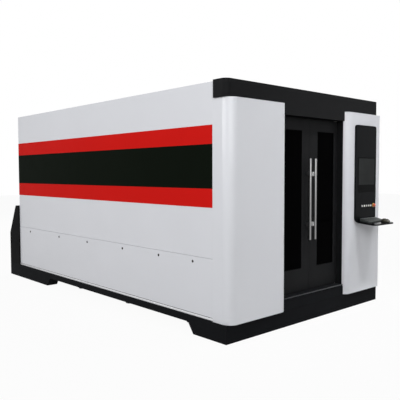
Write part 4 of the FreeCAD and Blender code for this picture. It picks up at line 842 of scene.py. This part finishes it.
# ---------------------------------------------------------------- operator's console
BUTTON_BODIES = {
    "power_button": "power_switch",
    "start_button": "start_switch",
    "pause_button": "pause_switch",
    "reset_button": "reset_switch",
    "light_button": "light_switch",
}
CAP_PROFILE = (
    # share of the cap's radius, and how far below its top
    (1.0, 0.0022), (0.96, 0.0008), (0.88, 0.0), (0.74, 0.0), (0.66, 0.0007), (0.30, 0.0010)
)
KNOB_STEM = 0.0108
KNOB_HEAD = 0.0125  # height of the head, above the stem
KNOB_PROFILE = (
    # how far inside the knob's radius, and how far below its top
    (0.0030, 0.0120), (0.0006, 0.0108), (0.0, 0.0090), (0.0006, 0.0070),
    (0.0034, 0.0036), (0.0078, 0.0013), (0.0125, 0.0003), (0.0165, 0.0),
)
COLLAR_BORE = 0.0113
COLLAR_BREAK = 0.0006
COLLAR_SLOPE = 0.0018


def console_buttons():
    """Dished button caps, the emergency stop's mushroom, and the collars of all six."""
    for node, body in BUTTON_BODIES.items():
        low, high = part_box(node)
        centre, radius, length = middle(low, high), (high.z - low.z) / 2, high.y - low.y
        mesh = bmesh.new()
        profile = [(radius, 0.0)]
        profile += [(radius * share, length - below) for share, below in CAP_PROFILE]
        turned(mesh, facing((centre.x, high.y, centre.z), FRONT), profile, 40)
        make_piece(node.replace("button", "cap"), mesh, body, "button_white", [node])

    low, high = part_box("estop_knob")
    centre, radius, length = middle(low, high), (high.x - low.x) / 2, high.y - low.y
    mesh = bmesh.new()
    profile = [(KNOB_STEM, 0.0), (KNOB_STEM, length - KNOB_HEAD)]
    profile += [(radius - inside, length - below) for inside, below in KNOB_PROFILE]
    turned(mesh, facing((centre.x, high.y, centre.z), FRONT), profile, 56)
    make_piece("emergency_knob", mesh, "emergency_stop", "button_red", ["estop_knob"])

    bezels, stop_collar = bmesh.new(), bmesh.new()
    collars = sorted(solids_of("button_collars"), key=lambda box: box[0].x)
    for low, high in collars:
        centre, outer, height = middle(low, high), (high.x - low.x) / 2, high.y - low.y
        profile = [
            (COLLAR_BORE, 0.0),
            (outer, 0.0),
            (outer, height * 0.35),
            (outer - COLLAR_BREAK, height * 0.75),
            (outer - COLLAR_SLOPE, height),
            (COLLAR_BORE + COLLAR_BREAK, height),
            (COLLAR_BORE, height - COLLAR_BREAK),
        ]
        mesh = stop_collar if low is collars[-1][0] else bezels
        turned(mesh, facing((centre.x, high.y, centre.z), FRONT), profile, 48, ring=True)
    make_piece(
        "button_bezels", bezels, "machine", "aluminium", ["button_collars"],
        material="black_plastic",
    )
    make_piece("emergency_collar", stop_collar, "machine", "aluminium", material="collar_yellow")


BEZEL_SIDE = 0.016
BEZEL_TOP = 0.016
BEZEL_CHIN = 0.084
BEZEL_THICKNESS = 0.0016
BEZEL_LAP = 0.001
BEZEL_CORNER = 0.008
BEZEL_EDGE = 0.0005


def screen_bezel():
    """The gloss surround of the screen, wider below it, as the photograph shows."""
    low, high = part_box("display_screen")
    face = facing((0, low.y + BEZEL_LAP, 0), FRONT)
    mesh = bmesh.new()
    outer = (low.x - BEZEL_SIDE, high.x + BEZEL_SIDE, low.z - BEZEL_CHIN, high.z + BEZEL_TOP)
    inner = (low.x, high.x, low.z, high.z)
    surround(mesh, face, outer, inner, BEZEL_THICKNESS, BEZEL_CORNER, BEZEL_EDGE)
    make_piece("screen_bezel", mesh, "machine", "black_plastic", material="gloss_black")


KEY_PITCH = 0.0185
KEY_ROW = 0.0172
KEY_GAP = 0.0016
KEY_HEIGHT = 0.0016
KEY_CORNER = 0.0018
KEY_EDGE = 0.0009
KEY_MARGIN = 0.006  # in front of the first row
BACK_ROW = 0.7  # depth of the last row, as a share of the others'
KEY_ROWS = (
    # widths in pitches, from the front row to the back one
    (1.5, 1, 1.5, 7, 1.5, 1, 1.5, 1, 1),
    (2.2, *[1] * 10, 2.8, 1, 1),
    (1.8, *[1] * 11, 2.2, 1, 1),
    (1.5, *[1] * 12, 1.5, 1, 1),
    (*[1] * 13, 2, 1, 1),
    (*[1] * 15, 1, 1),
)
SHELL_EDGE = 0.002
STRIP_END = 0.004
STRIP_FROM_BACK = (0.0065, 0.0015)  # its near and its far side
STRIP_HEIGHT = 0.0012
STRIP_EDGE = 0.0004
PLACE_DIGITS = 5  # to which corners are rounded before they are compared


def keyboard():
    """A sealed keyboard: a wedge with rounded edges, low keys and a bright strip at its back."""
    corners = NODES["keyboard"].data.vertices
    points = {tuple(round(c, PLACE_DIGITS) for c in v.co) for v in corners}
    left, right = min(p[0] for p in points), max(p[0] for p in points)
    side = sorted((p for p in points if p[0] == left), key=lambda p: p[1])
    front = sorted(side[:2], key=lambda p: p[2])
    back = sorted(side[2:], key=lambda p: p[2])
    mesh = bmesh.new()
    rim = [front[0], back[0], back[1], front[1]]
    loft(mesh, Matrix(), [[(x, y, z) for _, y, z in rim] for x in (left, right)])
    bmesh.ops.bevel(
        mesh, geom=mesh.edges[:], offset=SHELL_EDGE, segments=3, profile=0.5, affect="EDGES"
    )
    make_piece("keyboard_shell", mesh, "machine", "keyboard_plastic", ["keyboard"])

    start, end = Vector(front[1]), Vector(back[1])
    up = (end - start).normalized()
    matrix = facing(start, Vector((1, 0, 0)).cross(up), up)
    spare = (right - left) - sum(KEY_ROWS[0]) * KEY_PITCH
    mesh = bmesh.new()
    for row, widths in enumerate(KEY_ROWS):
        x = spare / 2
        y = KEY_MARGIN + row * KEY_ROW
        depth = KEY_ROW if row < len(KEY_ROWS) - 1 else KEY_ROW * BACK_ROW
        for units in widths:
            span = units * KEY_PITCH
            x0, x1 = x + KEY_GAP / 2, x + span - KEY_GAP / 2
            y0, y1 = y + KEY_GAP / 2, y + depth - KEY_GAP / 2
            plate(mesh, matrix, x0, x1, y0, y1, KEY_HEIGHT, KEY_CORNER, KEY_EDGE)
            x += span
    make_piece("keyboard_keys", mesh, "machine", "keyboard_plastic", material="key_caps")
    mesh = bmesh.new()
    length = (end - start).length
    near, far = (length - inset for inset in STRIP_FROM_BACK)
    block(
        mesh,
        (STRIP_END, near, 0.0),
        (right - left - STRIP_END, far, STRIP_HEIGHT),
        STRIP_EDGE,
        matrix=matrix,
    )
    make_piece("keyboard_strip", mesh, "machine", "aluminium")


MOUSE_LENGTH = 0.1
MOUSE_WIDTH = 0.06
MOUSE_HEIGHT = 0.036
MOUSE_LOOPS = (
    # share of the height, and of the length and width there
    (0.0, 0.90), (0.03, 0.955), (0.12, 0.99), (0.28, 1.0), (0.46, 0.975), (0.62, 0.91),
    (0.76, 0.80), (0.87, 0.65), (0.95, 0.46), (0.99, 0.25), (1.0, 0.08),
)
MOUSE_POINTS = 48
MOUSE_POWER = 2.4  # 2 would be an ellipse, more is squarer
MOUSE_TAPER = 0.07  # what nose and tail lose at the foot, and less further up
MOUSE_NARROW = 0.97  # points left with less than this are drawn in sideways
MOUSE_NARROW_SHARE = 0.96  # and keep this share of their distance from the middle
MOUSE_LEAN = 0.004  # how far the top is further back
MOUSE_RISE = 0.08  # how much higher the back is than the front
TRAY_REACH = 0.0005  # how close to the keyboard's rear edge a corner counts as on it
WHEEL_PLACE = (-0.003, -0.022, MOUSE_HEIGHT * 0.78)
WHEEL_PROFILE = ((0.0075, 0), (0.009, 0.001), (0.009, 0.005), (0.0075, 0.006))


def mouse():
    """A domed shell and its wheel, square on the sloping tray."""
    low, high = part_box("mouse")
    centre = middle(low, high)
    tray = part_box("keyboard")
    corners = NODES["keyboard"].data.vertices
    points = {(round(v.co.y, PLACE_DIGITS), round(v.co.z, PLACE_DIGITS)) for v in corners}
    points = sorted(points, key=lambda p: p[1])
    backs = [p for p in points if abs(p[0] - tray[1].y) < TRAY_REACH]
    (y0, z0), (y1, z1) = sorted(points[:1] + backs[:1])
    up = Vector((0, y1 - y0, z1 - z0)).normalized()
    foot = Vector((centre.x, y0, z0)) + up * ((centre.y - y0) / up.y)
    matrix = facing(foot, Vector((1, 0, 0)).cross(up), up)
    loops = []
    for height, scale in MOUSE_LOOPS:
        loop = []
        for i in range(MOUSE_POINTS):
            angle = 2 * math.pi * i / MOUSE_POINTS
            across, along = math.cos(angle), math.sin(angle)
            powers = abs(across) ** MOUSE_POWER + abs(along) ** MOUSE_POWER
            reach = 1 / powers ** (1 / MOUSE_POWER)
            narrow = 1 - MOUSE_TAPER * math.cos(2 * angle + math.pi) * (1 - height)
            share = MOUSE_NARROW_SHARE if narrow < MOUSE_NARROW else 1.0
            x = MOUSE_WIDTH / 2 * scale * reach * across * share
            y = MOUSE_LENGTH / 2 * scale * reach * along
            z = MOUSE_HEIGHT * height * (1 + MOUSE_RISE * along * (1 - scale))
            loop.append((x, y + MOUSE_LEAN * height, z))
        loops.append(loop)
    mesh = bmesh.new()
    loft(mesh, matrix, loops)
    make_piece(
        "mouse_shell", mesh, "machine", "black_plastic", ["mouse"], angle=60,
        material="mouse_plastic",
    )
    mesh = bmesh.new()
    turned(mesh, matrix @ facing(WHEEL_PLACE, (1, 0, 0)), WHEEL_PROFILE, 28)
    make_piece("mouse_wheel", mesh, "machine", "black_plastic")


# ---------------------------------------------------------------- inside the cabin
CABINET_SIDE = 0.02  # from the housing's side to its door's
CABINET_END = 0.03
CABINET_DOOR = 0.003
CABINET_CORNER = 0.008
CABINET_EDGE = 0.0012
HINGE_END = 0.14
HINGE_BOX = ((-0.006, -0.03, -0.003), (0.006, 0.03, 0.006))  # round a place on the door's side
HINGE_EDGE = 0.0015
LOCK_SIDE = 0.035
LOCK_PROFILE = ((0.014, 0), (0.014, 0.003), (0.012, 0.005), (0.004, 0.005))
SLOT_COUNT = 9
SLOT_PITCH = 0.014
SLOT_FOOT = 0.06
SLOT_HALF_LENGTH = 0.11
SLOT_HEIGHT = 0.006
SLOT_PROUD = 0.0006
SLOT_CORNER = 0.0029
SLOT_EDGE = 0.0003


def cabinets():
    """Doors, hinges, quarter-turn locks and cooling slots, on the two cabinets' inner sides."""
    doors, metal, slots = bmesh.new(), bmesh.new(), bmesh.new()
    for node in ("electrical_cabinet", "laser_source"):
        low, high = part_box(node)
        matrix = facing((0, high.y, 0), REAR)
        x0, x1 = -high.x + CABINET_SIDE, -low.x - CABINET_SIDE
        z0, z1 = low.z + CABINET_END, high.z - CABINET_END
        plate(doors, matrix, x0, x1, z0, z1, CABINET_DOOR, CABINET_CORNER, CABINET_EDGE)
        face = moved(matrix, 0, 0, CABINET_DOOR)
        for z in (z0 + HINGE_END, z1 - HINGE_END):
            start, end = ((x0 + across, z + up, out) for across, up, out in HINGE_BOX)
            block(metal, start, end, HINGE_EDGE, matrix=face)
            turned(metal, moved(face, x1 - LOCK_SIDE, z, 0), LOCK_PROFILE)
        centre = (x0 + x1) / 2
        x0, x1 = centre - SLOT_HALF_LENGTH, centre + SLOT_HALF_LENGTH
        for i in range(SLOT_COUNT):
            z = z0 + SLOT_FOOT + i * SLOT_PITCH
            plate(slots, face, x0, x1, z, z + SLOT_HEIGHT, SLOT_PROUD, SLOT_CORNER, SLOT_EDGE)
    make_piece("cabinet_doors", doors, "machine", "cabinet_paint")
    make_piece("cabinet_hardware", metal, "machine", "aluminium")
    make_piece("cabinet_slots", slots, "machine", "black_plastic")


LONG_RAIL_BOLTS = (0.04, 0.12)  # from the rail's end, and apart
CROSS_RAIL_BOLTS = (0.03, 0.08)
BOLT_PROUD = 0.00015
BOLT_PROFILE = (
    (0.0056, 0.0), (0.0056, BOLT_PROUD), (0.0028, BOLT_PROUD), (0.0026, BOLT_PROUD / 3)
)


def rail_bolts():
    """Flush caps over the bolts of the long rails and of the cross rails."""
    mesh = bmesh.new()
    end, pitch = LONG_RAIL_BOLTS
    for low, high in solids_of("long_axis_rails"):
        x = (low.x + high.x) / 2
        for y in spread(low.y + end, high.y - end, pitch):
            turned(mesh, facing((x, y, high.z), UP, REAR), BOLT_PROFILE, 14)
    make_piece("rail_bolts", mesh, "machine", "dark_screw")
    mesh = bmesh.new()
    end, pitch = CROSS_RAIL_BOLTS
    for low, high in solids_of("cross_rails"):
        z = (low.z + high.z) / 2
        for x in spread(low.x + end, high.x - end, pitch):
            turned(mesh, facing((x, low.y, z), FRONT), BOLT_PROFILE, 14)
    make_piece("cross_rail_bolts", mesh, "gantry", "dark_screw")


BEAM_SCREW_END = 0.05
BEAM_SCREW_PITCH = 0.1
BEAM_SCREW_DROP = 0.025
MOTOR_CAP = ((0.03, 0), (0.03, 0.004), (0.028, 0.006), (0.010, 0.006))
MOTOR_PLUG = (
    (0.0095, 0), (0.0095, 0.016), (0.0105, 0.017), (0.0105, 0.026), (0.006, 0.028)
)
MOTOR_PLUG_PLACES = ((-0.017, -0.022), (0.017, -0.022))


def gantry_details():
    """Screws on the beam's end plates, and the connectors of its two motors."""
    screws, plugs = bmesh.new(), bmesh.new()
    low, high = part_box("gantry_beam")
    for side in (-1, 1):
        for y in spread(low.y + BEAM_SCREW_END, high.y - BEAM_SCREW_END, BEAM_SCREW_PITCH):
            place = (side * high.x, y, high.z - BEAM_SCREW_DROP)
            screw(screws, facing(place, (side, 0, 0)), *SCREWS["gantry"])
    for low, high in solids_of("gantry_motors"):
        centre = middle(low, high)
        top = facing((centre.x, centre.y, high.z), UP, REAR)
        turned(plugs, top, MOTOR_CAP, 32)
        for x, y in MOTOR_PLUG_PLACES:
            turned(plugs, moved(top, x, y, 0.0), MOTOR_PLUG, 20)
    make_piece("gantry_screws", screws, "gantry", "dark_screw")
    make_piece("motor_plugs", plugs, "gantry", "black_plastic")


CARRIAGE_SCREW_END = 0.02
CARRIAGE_SCREW_PITCH = 0.07


def carriage_details():
    """Screws down both sides of the carriage's plate."""
    mesh = bmesh.new()
    low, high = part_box("head_carriage")
    slide_low, slide_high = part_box("head_slide")
    for x in ((low.x + slide_low.x) / 2, (high.x + slide_high.x) / 2):
        z0, z1 = low.z + CARRIAGE_SCREW_END, high.z - CARRIAGE_SCREW_END
        for z in spread(z0, z1, CARRIAGE_SCREW_PITCH):
            screw(mesh, facing((x, low.y, z), FRONT), *SCREWS["carriage"])
    make_piece("carriage_screws", mesh, "carriage", "dark_screw")


FIBRE_CONNECTOR = (
    (0.021, 0), (0.021, 0.010), (0.018, 0.012), (0.018, 0.040), (0.0195, 0.041),
    (0.0195, 0.056), (0.014, 0.060), (0.009, 0.074), (0.006, 0.090), (0.0035, 0.091),
)
GAS_INLET = (
    (0.009, 0), (0.009, 0.006), (0.0065, 0.007), (0.0065, 0.020), (0.008, 0.022),
    (0.008, 0.028), (0.004, 0.029),
)
GAS_INLET_DROP = 0.11
DRAWER_DROP = 0.16
DRAWER_HALF_WIDTH = 0.032
DRAWER_HALF_HEIGHT = 0.013
DRAWER_DEPTH = 0.005
DRAWER_CORNER = 0.003
DRAWER_EDGE = 0.001
DRAWER_KNOB = ((0.008, 0), (0.008, 0.007), (0.0065, 0.0085), (0.003, 0.0085))
HEAD_SCREW_SIDES = (-0.036, 0.036)  # from the drawer's middle
HEAD_SCREW_HEIGHTS = (-0.14, 0.13)


def head_details():
    """The fibre connector, the gas inlet, and the drawer of the protective window."""
    low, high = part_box("cutting_head")
    centre = middle(low, high)
    metal, drawer = bmesh.new(), bmesh.new()
    turned(metal, facing((centre.x, centre.y, high.z), UP, REAR), FIBRE_CONNECTOR, 40)
    inlet = facing((low.x, centre.y, high.z - GAS_INLET_DROP), (-1, 0, 0))
    turned(metal, inlet, GAS_INLET, 24)
    face = facing((centre.x, low.y, high.z - DRAWER_DROP), FRONT)
    sides = (-DRAWER_HALF_WIDTH, DRAWER_HALF_WIDTH, -DRAWER_HALF_HEIGHT, DRAWER_HALF_HEIGHT)
    plate(drawer, face, *sides, DRAWER_DEPTH, DRAWER_CORNER, DRAWER_EDGE)
    turned(drawer, moved(face, 0, 0, DRAWER_DEPTH), DRAWER_KNOB, 24)
    for x in HEAD_SCREW_SIDES:
        for z in HEAD_SCREW_HEIGHTS:
            screw(drawer, moved(face, x, z, 0), *SCREWS["head"])
    make_piece("head_fittings", metal, "head", "ground_steel")
    make_piece("window_drawer", drawer, "head", "black_plastic")


def make_pieces():
    cover_screws()
    cover_hems()
    panel_screws()
    exhaust()
    lift_cylinders()
    lift_door_trim()
    for side in ("left", "right"):
        door_handle(side)
        window_seal(side)
    sill_highlight_strip()
    console_buttons()
    screen_bezel()
    keyboard()
    mouse()
    cabinets()
    rail_bolts()
    gantry_details()
    carriage_details()
    head_details()


# ---------------------------------------------------------------- studio
PURE_WHITE = (1, 1, 1, 1)
WORLD_LEVEL = 0.33
SEEN_LEVEL = 1.0  # of the white that the camera sees
FLOOR_HALF = 30.0
FLOOR_WHITE = 0.95
FLOOR_TONE = 0.5
LAMPS = {
    # name: place, where it points, width and height, angle of the beam, watts
    "key_softbox": ((-4.4, -6.9, 3.9), (-0.7, -1.9, 1.1), (3.4, 2.6), 180, 205.0),
    "side_softbox": ((-7.5, 0.6, 4.0), (-1.2, 0.4, 0.9), (5.0, 2.6), 180, 238.0),
    "left_strip": ((-1.0, -5.0, 8.0), (0.6, -2.2, 0.9), (0.2, 0.15), 42, 11.0),
    "right_strip": ((2.7, -5.0, 8.0), (0.6, -2.2, 0.9), (0.2, 0.15), 42, 13.0),
    "rear_softbox": ((7.5, 8.0, 5.0), (0.0, 1.0, 1.0), (6.0, 4.0), 180, 900.0),
}


def seen_ray(tree):
    """1 for what the camera sees, straight, reflected or through glass, and 0 for light."""
    path = add_node(tree, "ShaderNodeLightPath")
    most = path.outputs["Is Camera Ray"]
    for kind in ("Is Glossy Ray", "Is Transmission Ray"):
        most = add_math(tree, "MAXIMUM", most, path.outputs[kind])
    return most


def make_world():
    world = bpy.data.worlds.new("studio")
    bpy.context.scene.world = world
    world.use_nodes = True
    tree = world.node_tree
    tree.nodes.clear()
    plain = add_node(tree, "ShaderNodeBackground", Color=PURE_WHITE, Strength=WORLD_LEVEL)
    seen = add_node(tree, "ShaderNodeBackground", Color=PURE_WHITE, Strength=SEEN_LEVEL)
    mixed = mix_shaders(tree, seen_ray(tree), plain, seen)
    add_node(tree, "ShaderNodeOutputWorld", Surface=mixed.outputs[0])


def make_floor():
    """Pale for light, and nearly white for the camera, so that it still takes a shadow."""
    mesh = bpy.data.meshes.new("floor")
    far = FLOOR_HALF
    corners = [(-far, -far, 0), (far, -far, 0), (far, far, 0), (-far, far, 0)]
    mesh.from_pydata(corners, [], [(0, 1, 2, 3)])
    floor = bpy.data.objects.new("floor", mesh)
    bpy.context.scene.collection.objects.link(floor)
    material, tree = new_material("pale_floor")
    pale = add_node(tree, "ShaderNodeBsdfDiffuse", Color=(*grey(FLOOR_TONE), 1))
    white = add_node(tree, "ShaderNodeEmission", Color=PURE_WHITE, Strength=SEEN_LEVEL)
    share = add_math(tree, "MULTIPLY", seen_ray(tree), FLOOR_WHITE)
    finish_shader(tree, mix_shaders(tree, share, pale, white))
    mesh.materials.append(material)


def area_light(name, place, target, size, beam, power):
    data = bpy.data.lights.new(name, "AREA")
    data.shape = "RECTANGLE"
    data.size, data.size_y = size
    data.spread = math.radians(beam)
    data.energy = power
    light = bpy.data.objects.new(name, data)
    light.location = place
    light.visible_camera = False
    light.rotation_euler = (Vector(target) - Vector(place)).to_track_quat("-Z", "Y").to_euler()
    bpy.context.scene.collection.objects.link(light)


def make_lights():
    for name, (place, target, size, beam, power) in LAMPS.items():
        area_light(name, place, target, size, beam, power)


make_camera()
dress_nodes()
make_pieces()
make_world()
make_floor()
make_lights()

bpy.context.scene.view_settings.view_transform = "Standard"
